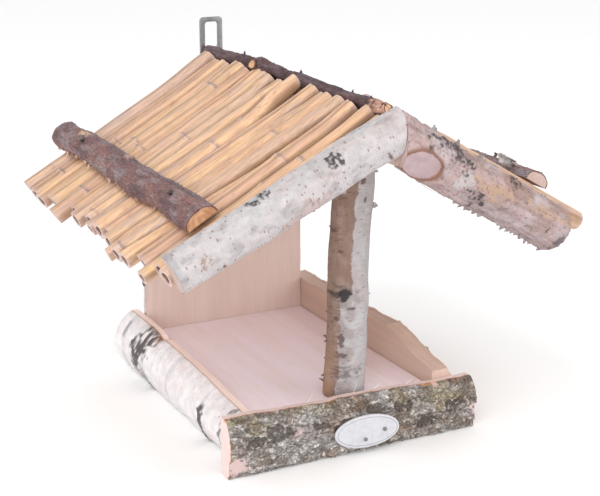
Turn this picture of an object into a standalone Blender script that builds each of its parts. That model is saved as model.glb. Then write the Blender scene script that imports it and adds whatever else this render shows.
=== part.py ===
"""Hanging bird feeder made of birch logs, waney slabs and reeds.

Metres, +Z up, the open front faces -Y. The feeder stands with its slabs on z = 0, and the
origin lies under the middle of its bounding box. Every piece is its own closed body. Pieces
that touch keep a small gap, so no two bodies share space.
"""
import math
import random

import bmesh
import bpy
from mathutils import Vector

# --- Driving dimensions (metres, degrees) ---------------------------------------------------
GAP = 0.0003                   # clearance between pieces that touch
BARK_PROUD = 0.0011            # how far bark may swell past a slab's stated depth
SLAB_ROUNDNESS = 0.75          # lower is fuller: the bark side of slabs and barges
BACK_SQUARENESS = 2.8          # 2 is an ellipse: the back board in plan

# Tray
TRAY_X = 0.0008                # the tray's middle, a little right of the roof's
TRAY_INNER_WIDTH = 0.0958      # between the two side slabs
TRAY_FRONT_Y = -0.0605         # sawn back face of the front slab
TRAY_BACK_Y = 0.0799           # sawn front face of the back board
FLOOR_TOP_Z = 0.0216
FLOOR_THICKNESS = 0.0120
EASED_EDGE = 0.0006            # the floor board's sanded edges
SIDE_SLAB_BACK_Y = 0.0918      # the side slabs run past the back board's face
FRONT_SLAB_LEFT_X = -0.0660
FRONT_SLAB_RIGHT_X = 0.0678
FRONT_SLAB_DEPTH = 0.0106
FRONT_SLAB_LOW_EDGE = 0.0068    # sawn width of its lower and its upper edge
FRONT_SLAB_TOP_EDGE = 0.0072
BACK_BOARD_DEPTH = 0.0156
FRONT_SLAB_HEIGHT = 0.0267
FRONT_SLAB_FALL = 0.0180       # its top edge drops a little to the right, per unit of length
# Side slabs: depths are the bottom edge, the belly and the top edge, out from the sawn face.
# tops are the top edge's heights at distances back from the front slab.
LEFT_SLAB = {"depths": (0.0075, 0.0145, 0.0036),
             "tops": [(0.0, 0.0240), (0.030, 0.0252), (0.060, 0.0280), (0.155, 0.0312)]}
RIGHT_SLAB = {"depths": (0.0080, 0.0165, 0.0092),
              "tops": [(0.0, 0.0298), (0.012, 0.0315), (0.045, 0.0390), (0.075, 0.0377),
                       (0.155, 0.0386)]}

# Roof
ROOF_PITCH = math.radians(30.1)
BOARD_TOP_APEX_Z = 0.1630      # where the roof boards' top faces would meet
BOARD_THICKNESS = 0.0045
BOARD_LENGTH = 0.0930          # down the slope, ending under the batten
ROOF_FRONT_Y = -0.0960
ROOF_BACK_Y = 0.0935
REED_LENGTH = 0.1190           # down the slope from the apex
REED_WALL = 0.0011
REED_SPREAD = (0.87, 1.10)     # stem diameters against their mean
REED_LENGTH_SPREAD = 0.0028
REED_BORE_DEPTH = 0.0140       # open stretch at each end, closed by the stem's own joints
REED_THIN_END = 0.86           # stems taper towards the apex
REEDS_LEFT = 19
REEDS_RIGHT = 18
BATTEN_BASE = 0.0116           # height of the battens' flat sides over the roof boards
BATTEN_WIDTH = {-1: 0.0160, 1: 0.0142}
BATTEN_HEIGHT = {-1: 0.0060, 1: 0.0056}
BATTEN_DOWN = {-1: (0.0890, 0.0850), 1: (0.0905, 0.0905)}   # down the slope, front and back
BATTEN_Y = {-1: (-0.0830, 0.1070), 1: (-0.0900, 0.1020)}
RIDGE_RADIUS = {"front": 0.0038, "back": 0.0045}
RIDGE_Y = (-0.0958, 0.0955)
RIDGE_LIFT = 0.0010            # the crooked branch touches the boards only at its low spots
RIDGE_ROOM = 0.0052            # the reeds stop this far from the middle, beside the branch

# Front post: a whole branch. Barges: half-round logs, flat side to the back
BARGE_BACK_Y = ROOF_FRONT_Y - GAP
BARGE_DEPTH = 0.0108
BARGE_SPARE = 0.0160           # length past the apex, cut off at the joint
BARGE_JOINT_X = 0.0020         # upright joint between the two barges
LEFT_BARGE = {"apex": (0.0, 0.1605), "end": (-0.1032, 0.1120), "width": (0.0196, 0.0172)}
RIGHT_BARGE = {"apex": (0.0036, 0.1570), "end": (0.0914, 0.1046), "width": (0.0215, 0.0195)}
POST_RADIUS = 0.0098
POST_FOOT = (0.0053, -0.0476)
POST_LEAN = 0.0062             # sideways lean from foot to head

# Hanger, label and nails
HANGER_X = 0.0026
HANGER_WIDTH = 0.0133
HANGER_BOTTOM_Z = 0.1190
HANGER_TOP_Z = 0.1890
HANGER_THICKNESS = 0.0012
HANGER_CORNER = 0.0022         # corner radii of the plate and of its slot
SLOT_WIDTH = 0.0074
SLOT_CORNER = 0.0016
SLOT_Z = (0.1724, 0.1864)
LABEL_CENTRE = (0.0047, 0.0114)
LABEL_SIZE = (0.0352, 0.0166)
LABEL_TILT = math.radians(-2.5)
LABEL_THICKNESS = 0.0010
LABEL_EDGE = 0.0004            # its front edge is rounded off by this much
LABEL_PINS = (("label_pin_left", -0.0015, -0.0036), ("label_pin_right", 0.0091, -0.0004))
LABEL_PIN_LENGTH = 0.0080
HANGER_NAILS = (("hanger_nail_upper", 0.1390), ("hanger_nail_lower", 0.1250))
HANGER_NAIL_LENGTH = 0.0120
NAIL_RADIUS = 0.0008
NAIL_CLEARANCE = 0.0003
NAIL_HEAD_RADIUS = 0.0019
NAIL_HEAD_THICKNESS = 0.0008
NAIL_POINT = 0.0020            # length of the tapered tip
DRILL_SPARE = 0.0010           # nail holes run this far past the tip
SIDES = 10                     # round nails, drills and reeds

RIGHT, LEFT = 1, -1


# --- Helpers --------------------------------------------------------------------------------
def clear_scene():
    for obj in list(bpy.data.objects):
        bpy.data.objects.remove(obj, do_unlink=True)


def material(name, colour, roughness, metallic=0.0):
    found = bpy.data.materials.get(name)
    if found:
        return found
    made = bpy.data.materials.new(name)
    made.use_nodes = True
    shader = made.node_tree.nodes["Principled BSDF"]
    shader.inputs["Base Color"].default_value = (*colour, 1.0)
    shader.inputs["Roughness"].default_value = roughness
    shader.inputs["Metallic"].default_value = metallic
    return made


def waver(seed, amount, wavelength):
    """A smooth uneven line: the sum of three sine waves with seeded phases."""
    rng = random.Random(seed)
    waves = [(amount / (n + 1), wavelength / (n * 0.83 + 1), rng.uniform(0, math.tau))
             for n in range(3)]
    return lambda t: sum(a * math.sin(math.tau * t / w + p) for a, w, p in waves)


def height_at(outline, at):
    """Read a hand-set outline of (place, height) points, eased between them."""
    for (x0, h0), (x1, h1) in zip(outline, outline[1:]):
        if at <= x1:
            share = min(1.0, max(0.0, (at - x0) / (x1 - x0)))
            return h0 + (h1 - h0) * share * share * (3 - 2 * share)
    return outline[-1][1]


def add_object(name, bm, mat, sharp=math.radians(38)):
    bmesh.ops.recalc_face_normals(bm, faces=bm.faces)
    mesh = bpy.data.meshes.new(name)
    bm.to_mesh(mesh)
    bm.free()
    mesh.shade_smooth()
    mesh.set_sharp_from_angle(angle=sharp)
    mesh.materials.append(mat)
    obj = bpy.data.objects.new(name, mesh)
    bpy.context.collection.objects.link(obj)
    return obj


def bridge_rings(bm, rings, closed_loop=False):
    """Join rings of points side by side. Caps the ends unless the rings close on themselves."""
    loops = [[bm.verts.new(point) for point in ring] for ring in rings]
    pairs = list(zip(loops, loops[1:]))
    if closed_loop:
        pairs.append((loops[-1], loops[0]))
    for first, second in pairs:
        for i in range(len(first)):
            j = (i + 1) % len(first)
            bm.faces.new((first[i], first[j], second[j], second[i]))
    if not closed_loop:
        bm.faces.new(list(reversed(loops[0])))
        bm.faces.new(loops[-1])


def loft(rings):
    bm = bmesh.new()
    bridge_rings(bm, rings)
    return bm


def cut_above(bm, point, normal):
    """Remove what lies on the normal's side of a plane and close the cut."""
    geometry = bm.verts[:] + bm.edges[:] + bm.faces[:]
    bmesh.ops.bisect_plane(bm, geom=geometry, plane_co=point, plane_no=normal, clear_outer=True)
    rim = [edge for edge in bm.edges if edge.is_boundary]
    bmesh.ops.holes_fill(bm, edges=rim)


def steps(low, high, count):
    return [low + (high - low) * i / count for i in range(count + 1)]


def roof_point(side, down, height, y):
    """A point on one roof side: down the slope, height over the roof board's top face."""
    along, rise = math.cos(ROOF_PITCH), math.sin(ROOF_PITCH)
    x = side * (down * along + height * rise)
    return Vector((x, y, BOARD_TOP_APEX_Z - down * rise + height * along))


def down_to_apex(side_gap, height):
    """How far down the slope a point at this height stands side_gap from the middle plane."""
    return (side_gap - height * math.sin(ROOF_PITCH)) / math.cos(ROOF_PITCH)


def drill(obj, start, end, radius=NAIL_RADIUS + NAIL_CLEARANCE):
    """Cut a round hole between two points with a hidden cutter."""
    start, end = Vector(start), Vector(end)
    bm = rod(start, end, radius)
    cutter = add_object(f"{obj.name}_drill_{len(obj.modifiers)}", bm, obj.data.materials[0])
    cutter.hide_render = True
    cutter.display_type = "WIRE"
    cut = obj.modifiers.new("drill", "BOOLEAN")
    cut.operation = "DIFFERENCE"
    cut.object = cutter


def circle_around(centre, direction, radius, sides):
    direction = direction.normalized()
    helper = Vector((0, 0, 1)) if abs(direction.z) < 0.9 else Vector((1, 0, 0))
    across = direction.cross(helper).normalized()
    up = direction.cross(across)
    turns = [math.tau * (i + 0.5) / sides for i in range(sides)]
    return [centre + radius * (math.cos(a) * across + math.sin(a) * up) for a in turns]


def rod(start, end, radius):
    direction = end - start
    return loft([circle_around(p, direction, radius, SIDES) for p in (start, end)])


def nail(name, surface, direction, length, mat):
    """A flat-headed nail. surface is where its head's underside rests, direction is inward."""
    direction = Vector(direction).normalized()
    head_under = Vector(surface) - GAP * direction
    head_top = head_under - NAIL_HEAD_THICKNESS * direction
    tip = head_under + length * direction
    profile = [(head_top, NAIL_HEAD_RADIUS), (head_under, NAIL_HEAD_RADIUS),
               (head_under, NAIL_RADIUS), (tip - NAIL_POINT * direction, NAIL_RADIUS),
               (tip, 0.25 * NAIL_RADIUS)]
    rings = [circle_around(centre, direction, radius, SIDES) for centre, radius in profile]
    add_object(name, loft(rings), mat)


# --- Materials ------------------------------------------------------------------------------
def pale_wood():
    return material("pale_planed_birch", (0.76, 0.58, 0.45), 0.62)


def white_bark():
    return material("white_birch_bark", (0.72, 0.68, 0.66), 0.70)


def rough_bark():
    return material("rough_lichen_bark", (0.30, 0.28, 0.23), 0.92)


def dark_bark():
    return material("dark_twig_bark", (0.14, 0.085, 0.080), 0.80)


def steel():
    return material("zinc_plated_steel", (0.62, 0.62, 0.60), 0.38, 1.0)


def straw(index):
    shades = [(0.66, 0.44, 0.21), (0.60, 0.42, 0.24), (0.72, 0.50, 0.26), (0.53, 0.39, 0.26)]
    shade = index % len(shades)
    return material(f"reed_straw_{shade}", shades[shade], 0.55)


# --- Slabs: one flat sawn face, bark on the round side --------------------------------------
def slab_ring(place, along, low, high, depths, count=9):
    """One cross-section: flat face from low to high, bark side through lens-shaped depths."""
    bottom_depth, belly, top_depth = depths
    ring = [place(along, low, 0.0), place(along, high, 0.0)]
    for part in steps(1.0, 0.0, count):
        edge = bottom_depth + (top_depth - bottom_depth) * part
        swell = (belly - edge) * math.sin(math.pi * part) ** SLAB_ROUNDNESS
        ring.append(place(along, low + (high - low) * part, edge + swell))
    return ring


def side_slab(name, side, spec, seed):
    """A tray side: sawn face inwards, trimmed flat on top, resting on its sawn lower edge."""
    inner_x = TRAY_X + side * TRAY_INNER_WIDTH / 2
    bulge = waver(seed, amount=0.0006, wavelength=0.070)
    bottom_depth, belly, top_depth = spec["depths"]

    def place(along, up, out):
        return Vector((inner_x + side * out, along, up))

    rings = []
    for y in steps(TRAY_FRONT_Y + GAP, SIDE_SLAB_BACK_Y, 18):
        top = height_at(spec["tops"], y - TRAY_FRONT_Y)
        depths = (bottom_depth, belly + bulge(y), top_depth)
        rings.append(slab_ring(place, y, 0.0, top, depths))
    add_object(name, loft(rings), white_bark())


def front_slab():
    """The tray's front: a thick slab with rough old bark, its sawn face to the inside."""
    bulge = waver(31, amount=0.0009, wavelength=0.050)
    rise = waver(32, amount=0.0005, wavelength=0.070)

    def place(along, up, out):
        return Vector((along, TRAY_FRONT_Y - out, up))

    rings = []
    for x in steps(FRONT_SLAB_LEFT_X, FRONT_SLAB_RIGHT_X, 18):
        top = FRONT_SLAB_HEIGHT + rise(x) - FRONT_SLAB_FALL * (x - TRAY_X)
        depths = (FRONT_SLAB_LOW_EDGE, FRONT_SLAB_DEPTH + bulge(x), FRONT_SLAB_TOP_EDGE)
        rings.append(slab_ring(place, x, 0.0, top, depths))
    return add_object("front_slab", loft(rings), rough_bark())


def back_board():
    """The upright back: a slab from a thick log, bark to the back, its top cut to the roof."""
    half = TRAY_INNER_WIDTH / 2 - GAP
    bulge = waver(41, amount=0.0005, wavelength=0.080)
    rings = []
    for z in steps(0.0, BOARD_TOP_APEX_Z, 10):
        ring = []
        for part in steps(-1.0, 1.0, 16):
            roundness = (1 - abs(part) ** BACK_SQUARENESS) ** (1 / BACK_SQUARENESS)
            depth = (BACK_BOARD_DEPTH + bulge(z)) * roundness
            ring.append(Vector((TRAY_X + half * part, TRAY_BACK_Y + max(depth, 0.0), z)))
        rings.append(ring)
    bm = loft(rings)
    trim_under_roof(bm)
    return add_object("back_board", bm, white_bark())


def trim_under_roof(bm):
    """Cut a piece off just under both roof boards."""
    for side in (LEFT, RIGHT):
        drop = (BOARD_THICKNESS + GAP) / math.cos(ROOF_PITCH)
        under = Vector((0.0, 0.0, BOARD_TOP_APEX_Z - drop))
        normal = Vector((side * math.sin(ROOF_PITCH), 0.0, math.cos(ROOF_PITCH)))
        cut_above(bm, under, normal)


def floor_board():
    """The tray's floor, let in between the four slabs and nailed to them."""
    half = TRAY_INNER_WIDTH / 2 - GAP
    corners = [(TRAY_X - half, TRAY_FRONT_Y + GAP), (TRAY_X + half, TRAY_FRONT_Y + GAP),
               (TRAY_X + half, TRAY_BACK_Y - GAP), (TRAY_X - half, TRAY_BACK_Y - GAP)]
    heights = (FLOOR_TOP_Z - FLOOR_THICKNESS, FLOOR_TOP_Z)
    rings = [[Vector((x, y, z)) for x, y in corners] for z in heights]
    obj = add_object("floor_board", loft(rings), pale_wood())
    edge = obj.modifiers.new("eased_edges", "BEVEL")
    edge.width = EASED_EDGE
    edge.segments = 1


# --- Logs and branches ----------------------------------------------------------------------
def front_post():
    """A whole birch branch from the tray floor up to the ridge, leaning a little sideways."""
    foot = Vector((*POST_FOOT, FLOOR_TOP_Z + GAP))
    head = Vector((POST_FOOT[0] + POST_LEAN, POST_FOOT[1], BOARD_TOP_APEX_Z))
    bend = waver(51, amount=0.0003, wavelength=0.090)
    swell = waver(52, amount=0.0002, wavelength=0.050)
    rings = []
    for share in steps(0.0, 1.0, 12):
        centre = foot.lerp(head, share)
        centre.x += bend(centre.z) - bend(foot.z)
        radius = POST_RADIUS * (1.02 - 0.07 * share) + swell(centre.z)
        rings.append(circle_around(centre, Vector((0, 0, 1)), radius, 20))
    bm = loft(rings)
    trim_under_roof(bm)
    add_object("front_post", bm, white_bark())


def barge(name, side, spec, seed):
    """A split log on the roof's front end: flat side to the roof, bark to the front."""
    apex = Vector((spec["apex"][0], BARGE_BACK_Y, spec["apex"][1]))
    end = Vector((spec["end"][0], BARGE_BACK_Y, spec["end"][1]))
    axis = (end - apex).normalized()
    up = Vector((-axis.z, 0, axis.x)) * side
    start = apex - BARGE_SPARE * axis
    bend = waver(seed, amount=0.0005, wavelength=0.090)
    swell = waver(seed + 1, amount=0.0003, wavelength=0.050)
    length = (end - start).length
    rings = []
    for along in steps(0.0, length, 16):
        share = along / length
        half = (spec["width"][0] * (1 - share) + spec["width"][1] * share) / 2 + swell(along)
        middle = start + along * axis + bend(along) * up
        ring = []
        for angle in steps(0.0, math.pi, 12):
            out = BARGE_DEPTH * max(0.0, math.sin(angle)) ** SLAB_ROUNDNESS
            ring.append(middle + half * math.cos(angle) * up + Vector((0, -out, 0)))
        rings.append(ring)
    bm = loft(rings)
    joint = Vector((BARGE_JOINT_X + side * GAP / 2, 0, 0))
    cut_above(bm, joint, Vector((-side, 0, 0)))
    add_object(name, bm, white_bark())


def ridge_branch():
    """A thin crooked branch bedded between the upper ends of the reeds, on the boards."""
    lift = waver(62, amount=0.0005, wavelength=0.110)
    swell = waver(63, amount=0.0001, wavelength=0.030)
    rings = []
    for y in steps(*RIDGE_Y, 22):
        share = (y - RIDGE_Y[0]) / (RIDGE_Y[1] - RIDGE_Y[0])
        radius = RIDGE_RADIUS["front"] * (1 - share) + RIDGE_RADIUS["back"] * share + swell(y)
        bed = BOARD_TOP_APEX_Z + (radius + GAP) / math.cos(ROOF_PITCH)
        centre = Vector((0.0, y, bed + RIDGE_LIFT + lift(y)))
        rings.append(circle_around(centre, Vector((0, 1, 0)), radius, 12))
    add_object("ridge_branch", loft(rings), dark_bark())


def batten_crest(side, y):
    """Where a batten's middle line runs: how far down the slope, and its swelling there."""
    bend = waver(95 + side, amount=0.0004, wavelength=0.090)
    swell = waver(98 + side, amount=0.0003, wavelength=0.045)
    front_y, back_y = BATTEN_Y[side]
    front_down, back_down = BATTEN_DOWN[side]
    share = (y - front_y) / (back_y - front_y)
    return front_down + (back_down - front_down) * share + bend(y), swell(y)


def batten(name, side):
    """A split branch laid across the reeds, flat side down, bark up."""
    rings = []
    for y in steps(*BATTEN_Y[side], 18):
        down, swell = batten_crest(side, y)
        half = BATTEN_WIDTH[side] / 2 + swell
        ring = []
        for angle in steps(0.0, math.pi, 10):
            height = BATTEN_BASE + (BATTEN_HEIGHT[side] + swell) * max(0.0, math.sin(angle))
            ring.append(roof_point(side, down + half * math.cos(angle), height, y))
        rings.append(ring)
    return add_object(name, loft(rings), dark_bark())


# --- Roof boards and reeds ------------------------------------------------------------------
def roof_board(name, side):
    """A thin board under the reeds, mitred at the apex and ending under the batten."""
    rings = []
    for y in (ROOF_FRONT_Y, ROOF_BACK_Y):
        ring = [roof_point(side, down_to_apex(GAP / 2, 0.0), 0.0, y),
                roof_point(side, BOARD_LENGTH, 0.0, y),
                roof_point(side, BOARD_LENGTH, -BOARD_THICKNESS, y),
                roof_point(side, down_to_apex(GAP / 2, -BOARD_THICKNESS), -BOARD_THICKNESS, y)]
        rings.append(ring)
    return add_object(name, loft(rings), pale_wood())


def reed_widths(count, seed, nail_slots):
    """Reed diameters and their places along the roof, packed side by side from the front."""
    rng = random.Random(seed)
    widths = [rng.uniform(*REED_SPREAD) for _ in range(count)]
    room = ROOF_BACK_Y - ROOF_FRONT_Y - (count - 1) * GAP
    nail_room = 2 * (NAIL_RADIUS + GAP)
    room -= nail_room * len(nail_slots)
    scale = room / sum(widths)
    places = []
    nails = []
    y = ROOF_FRONT_Y
    for index, width in enumerate(widths):
        diameter = width * scale
        places.append((y + diameter / 2, diameter))
        y += diameter + GAP
        if index in nail_slots:
            nails.append(y - GAP / 2 + nail_room / 2)
            y += nail_room
    return places, nails


def reed(name, side, centre_y, diameter, length, mat):
    """A hollow reed stem: open at both ends, closed inside, cut upright beside the ridge."""
    thin = REED_THIN_END * diameter
    turns = [math.tau * (i + 0.5) / SIDES for i in range(SIDES)]

    def ring(down, outer, radius):
        """down None means the upper end."""
        points = []
        for turn in turns:
            height = GAP + outer + radius * math.sin(turn)
            at = down_to_apex(RIDGE_ROOM, height) if down is None else down
            points.append(roof_point(side, at, height, centre_y + radius * math.cos(turn)))
        return points

    low, high = diameter / 2, thin / 2
    joint = 0.55 * length
    rings = [ring(REED_BORE_DEPTH, high, high - REED_WALL), ring(None, high, high - REED_WALL),
             ring(None, high, high), ring(0.35 * joint, high, high),
             ring(joint, low, 0.97 * low), ring(length, low, low),
             ring(length, low, low - REED_WALL),
             ring(length - REED_BORE_DEPTH, low, low - REED_WALL)]
    add_object(name, loft(rings), mat)


def reed_layer(prefix, side, count, seed, nail_slots):
    rng = random.Random(seed + 7)
    places, nails = reed_widths(count, seed, nail_slots)
    for index, (centre_y, diameter) in enumerate(places):
        length = REED_LENGTH + rng.uniform(-REED_LENGTH_SPREAD, REED_LENGTH_SPREAD)
        name = f"{prefix}_reed_{index + 1:02d}"
        reed(name, side, centre_y, diameter, length, straw(rng.randrange(4)))
    return nails


def nail_batten(prefix, side, batten_obj, board_obj, nail_places):
    """Nails through batten and board, passing between two reeds."""
    inward = roof_point(side, 0, -1, 0) - roof_point(side, 0, 0, 0)
    length = BATTEN_HEIGHT[side] + BATTEN_BASE + 0.5 * BOARD_THICKNESS
    through = 0.0020               # the drills run this far past each face
    for number, y in enumerate(nail_places, 1):
        down, swell = batten_crest(side, y)
        surface = roof_point(side, down, BATTEN_BASE + BATTEN_HEIGHT[side] + swell, y)
        nail(f"{prefix}_batten_nail_{number}", surface, inward, length, steel())
        below = roof_point(side, down, -0.75 * BOARD_THICKNESS, y)
        above = roof_point(side, down, BATTEN_BASE + 2 * BATTEN_HEIGHT[side], y)
        drill(batten_obj, above, roof_point(side, down, BATTEN_BASE - through, y))
        drill(board_obj, roof_point(side, down, through, y), below)


# --- Hanger and label -----------------------------------------------------------------------
def rounded_outline(centre, width, height, radius, per_corner=4):
    """Points round a rectangle with round corners, in the X-Z plane, anticlockwise from +X."""
    points = []
    corners = [(1, 1, 0), (-1, 1, 90), (-1, -1, 180), (1, -1, 270)]
    for sign_x, sign_z, first in corners:
        for turn in steps(first, first + 90, per_corner):
            angle = math.radians(turn)
            x = centre[0] + sign_x * (width / 2 - radius) + radius * math.cos(angle)
            z = centre[1] + sign_z * (height / 2 - radius) + radius * math.sin(angle)
            points.append((x, z))
    return points


def hanger_plate(back_y):
    """A stamped steel strip with a long slot that hooks over a nail or screw."""
    height = HANGER_TOP_Z - HANGER_BOTTOM_Z
    middle = (HANGER_TOP_Z + HANGER_BOTTOM_Z) / 2
    slot_height = SLOT_Z[1] - SLOT_Z[0]
    slot_middle = (SLOT_Z[0] + SLOT_Z[1]) / 2
    outer = rounded_outline((HANGER_X, middle), HANGER_WIDTH, height, HANGER_CORNER)
    inner = rounded_outline((HANGER_X, slot_middle), SLOT_WIDTH, slot_height, SLOT_CORNER)
    front, rear = back_y, back_y + HANGER_THICKNESS
    rings = [[Vector((x, y, z)) for x, z in outline]
             for outline, y in ((outer, front), (outer, rear), (inner, rear), (inner, front))]
    bm = bmesh.new()
    bridge_rings(bm, rings, closed_loop=True)
    return add_object("hanger_plate", bm, steel(), sharp=math.radians(30))


def label_plate(front_y):
    """A plain oval plate on the front slab's bark."""
    rings = []
    for y, inset in ((front_y, 0.0), (front_y - 0.8 * LABEL_THICKNESS, 0.0),
                     (front_y - LABEL_THICKNESS, LABEL_EDGE)):
        ring = []
        for index in range(36):
            angle = math.tau * index / 36
            along = (LABEL_SIZE[0] / 2 - inset) * math.cos(angle)
            up = (LABEL_SIZE[1] / 2 - inset) * math.sin(angle)
            x = along * math.cos(LABEL_TILT) - up * math.sin(LABEL_TILT)
            z = along * math.sin(LABEL_TILT) + up * math.cos(LABEL_TILT)
            ring.append(Vector((LABEL_CENTRE[0] + x, y, LABEL_CENTRE[1] + z)))
        rings.append(ring)
    white = material("white_label", (0.86, 0.86, 0.87), 0.45)
    return add_object("label_plate", loft(rings), white)


def fasten_hanger(plate, board, board_back_y):
    inward = Vector((0, -1, 0))
    rear = board_back_y + GAP + HANGER_THICKNESS
    for name, z in HANGER_NAILS:
        nail(name, (HANGER_X, rear, z), inward, HANGER_NAIL_LENGTH, steel())
        drill(plate, (HANGER_X, rear + GAP, z), (HANGER_X, board_back_y, z))
        drill(board, (HANGER_X, rear, z), (HANGER_X, rear - HANGER_NAIL_LENGTH - DRILL_SPARE, z))


def fasten_label(plate, slab, plate_front_y):
    inward = Vector((0, 1, 0))
    behind = plate_front_y + LABEL_THICKNESS
    for name, x, z in LABEL_PINS:
        at_x, at_z = LABEL_CENTRE[0] + x, LABEL_CENTRE[1] + z
        nail(name, (at_x, plate_front_y, at_z), inward, LABEL_PIN_LENGTH, steel())
        drill(plate, (at_x, plate_front_y - GAP, at_z), (at_x, behind + GAP, at_z))
        drill(slab, (at_x, behind, at_z), (at_x, plate_front_y + LABEL_PIN_LENGTH + DRILL_SPARE, at_z))


# --- Assembly -------------------------------------------------------------------------------
def build():
    clear_scene()
    floor_board()
    board = back_board()
    side_slab("left_side_slab", LEFT, LEFT_SLAB, 11)
    side_slab("right_side_slab", RIGHT, RIGHT_SLAB, 21)
    slab = front_slab()
    front_post()
    barge("left_barge", LEFT, LEFT_BARGE, 71)
    barge("right_barge", RIGHT, RIGHT_BARGE, 81)
    ridge_branch()

    for prefix, side, count, seed in (("left", LEFT, REEDS_LEFT, 5),
                                      ("right", RIGHT, REEDS_RIGHT, 9)):
        roof = roof_board(f"{prefix}_roof_board", side)
        strip = batten(f"{prefix}_batten", side)
        nail_places = reed_layer(prefix, side, count, seed, nail_slots=(3, count - 4))
        nail_batten(prefix, side, strip, roof, nail_places)

    board_back_y = TRAY_BACK_Y + BACK_BOARD_DEPTH + BARK_PROUD
    plate = hanger_plate(board_back_y + GAP)
    fasten_hanger(plate, board, board_back_y)
    label_back_y = TRAY_FRONT_Y - FRONT_SLAB_DEPTH - BARK_PROUD
    label = label_plate(label_back_y)
    fasten_label(label, slab, label_back_y - LABEL_THICKNESS)


build()
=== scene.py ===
"""Looks of the hanging bird feeder: bark, sawn wood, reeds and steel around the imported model.

Metres, +Z up, the open front faces -Y. Every log, slab and reed is a grid of points that is
shaped, roughened and coloured by formulas. Two attributes carry that to the materials: "tone",
a colour with the amount of birch marks in its alpha, and "grain", millimetres in the log's own
frame, with x along its fibres and the pith at y = z = 0.
"""
import itertools
import math

import bmesh
import bpy
import numpy as np
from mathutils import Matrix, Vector


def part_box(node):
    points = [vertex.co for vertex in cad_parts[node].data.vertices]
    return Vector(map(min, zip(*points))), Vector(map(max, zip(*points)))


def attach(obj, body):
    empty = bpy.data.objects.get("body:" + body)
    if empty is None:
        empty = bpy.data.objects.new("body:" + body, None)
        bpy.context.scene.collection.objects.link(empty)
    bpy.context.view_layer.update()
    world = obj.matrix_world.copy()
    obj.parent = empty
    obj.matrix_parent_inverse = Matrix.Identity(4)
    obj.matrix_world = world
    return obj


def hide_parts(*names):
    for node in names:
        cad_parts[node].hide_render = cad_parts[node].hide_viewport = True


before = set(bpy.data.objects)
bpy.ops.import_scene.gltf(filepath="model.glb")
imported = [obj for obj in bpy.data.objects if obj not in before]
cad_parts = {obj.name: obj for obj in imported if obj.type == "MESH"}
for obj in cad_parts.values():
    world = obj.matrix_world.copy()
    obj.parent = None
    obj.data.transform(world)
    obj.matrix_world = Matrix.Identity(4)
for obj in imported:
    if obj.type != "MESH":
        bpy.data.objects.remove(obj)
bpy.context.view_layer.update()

MM = 0.001
RIGHT, LEFT = 1, -1

# --- Colours (linear) -----------------------------------------------------------------------
WHITE_BARK = (0.80, 0.755, 0.755)
PINK_BARK = (0.72, 0.55, 0.52)
TAN_BARK = (0.50, 0.30, 0.20)
ORANGE_BARK = (0.62, 0.33, 0.18)       # the inner bark that shows as a line along sawn edges
GREY_BARK = (0.40, 0.37, 0.37)
BLACK_BARK = (0.045, 0.038, 0.038)
BROWN_BARK = (0.22, 0.12, 0.085)
WOOD = (0.80, 0.60, 0.53)
REEDS = ((0.78, 0.52, 0.31), (0.70, 0.46, 0.30), (0.83, 0.58, 0.34), (0.62, 0.45, 0.34),
         (0.76, 0.55, 0.38))
REED_NODE = (0.33, 0.26, 0.27)
TWIG = (0.150, 0.080, 0.078)
TWIG_GREY = (0.22, 0.17, 0.18)
TWIG_TAN = (0.46, 0.27, 0.18)

# the barges
COOL_BARK = (0.60, 0.66, 0.66)
SCRATCH = (0.42, 0.24, 0.19)
SHADED_END = (0.38, 0.42, 0.46)
LEFT_RIM = (0.30, 0.17, 0.12)
LEFT_END = (0.86, 0.72, 0.68)
PINK_SCRAP = (0.74, 0.60, 0.57)
ORANGE_SCRAP = (0.62, 0.36, 0.24)
WHITE_SCRAP = (0.78, 0.68, 0.66)
DARK_LINES = (0.40, 0.27, 0.24)
DULL_PINK = (0.58, 0.48, 0.48)
STRAW_BARK = (0.80, 0.55, 0.34)
PALE_BARK = (0.80, 0.78, 0.76)
FLECK = (0.17, 0.12, 0.11)
END_SPOT = (0.16, 0.15, 0.16)
CUT_COLLAR = (0.34, 0.17, 0.11)
CUT_FACE = (0.74, 0.57, 0.57)
RIGHT_RIM = (0.45, 0.30, 0.26)
RIGHT_END = (0.74, 0.60, 0.56)
LOWER_SCRAP = (0.62, 0.52, 0.51)
UPPER_SCRAP = (0.55, 0.49, 0.48)
GREY_SCRAP = (0.42, 0.38, 0.38)
BROWN_SCRAP = (0.55, 0.45, 0.43)
WHISKER = (0.50, 0.42, 0.38)
# the battens
TWIG_RED = (0.23, 0.115, 0.095)
TWIG_DARK = (0.07, 0.042, 0.045)
TWIG_BLUE = (0.20, 0.19, 0.22)
TWIG_BARE = (0.56, 0.36, 0.24)
TWIG_KNOT = (0.50, 0.33, 0.26)
TWIG_RIM = (0.13, 0.07, 0.06)
TWIG_SCRAP = (0.34, 0.20, 0.15)
TWIG_PALE_SCRAP = (0.62, 0.45, 0.34)
TWIG_DARK_SCRAP = (0.20, 0.12, 0.10)
CURL_ROOT = (0.33, 0.27, 0.26)
CURL = (0.52, 0.50, 0.50)
# the ridge branch
RIDGE_DARK = (0.125, 0.075, 0.078)
RIDGE_GREY = (0.20, 0.16, 0.17)
RIDGE_RED = (0.19, 0.10, 0.08)
RIDGE_FOLD = (0.055, 0.035, 0.038)
# painted shade for the ridge branch's underside
RIDGE_UNDER_SHADE = (0.10, 0.055, 0.045)
RIDGE_PEELED = (0.78, 0.52, 0.36)
RIDGE_RIM = (0.17, 0.085, 0.06)
RIDGE_END = (0.68, 0.42, 0.26)
RIDGE_SCRAP = (0.13, 0.085, 0.08)
SPLINTER = (0.15, 0.08, 0.06)
KNOT_BARK = (0.15, 0.085, 0.075)
KNOT_RIM = (0.30, 0.16, 0.11)
KNOT_WOOD = (0.70, 0.48, 0.34)
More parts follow.
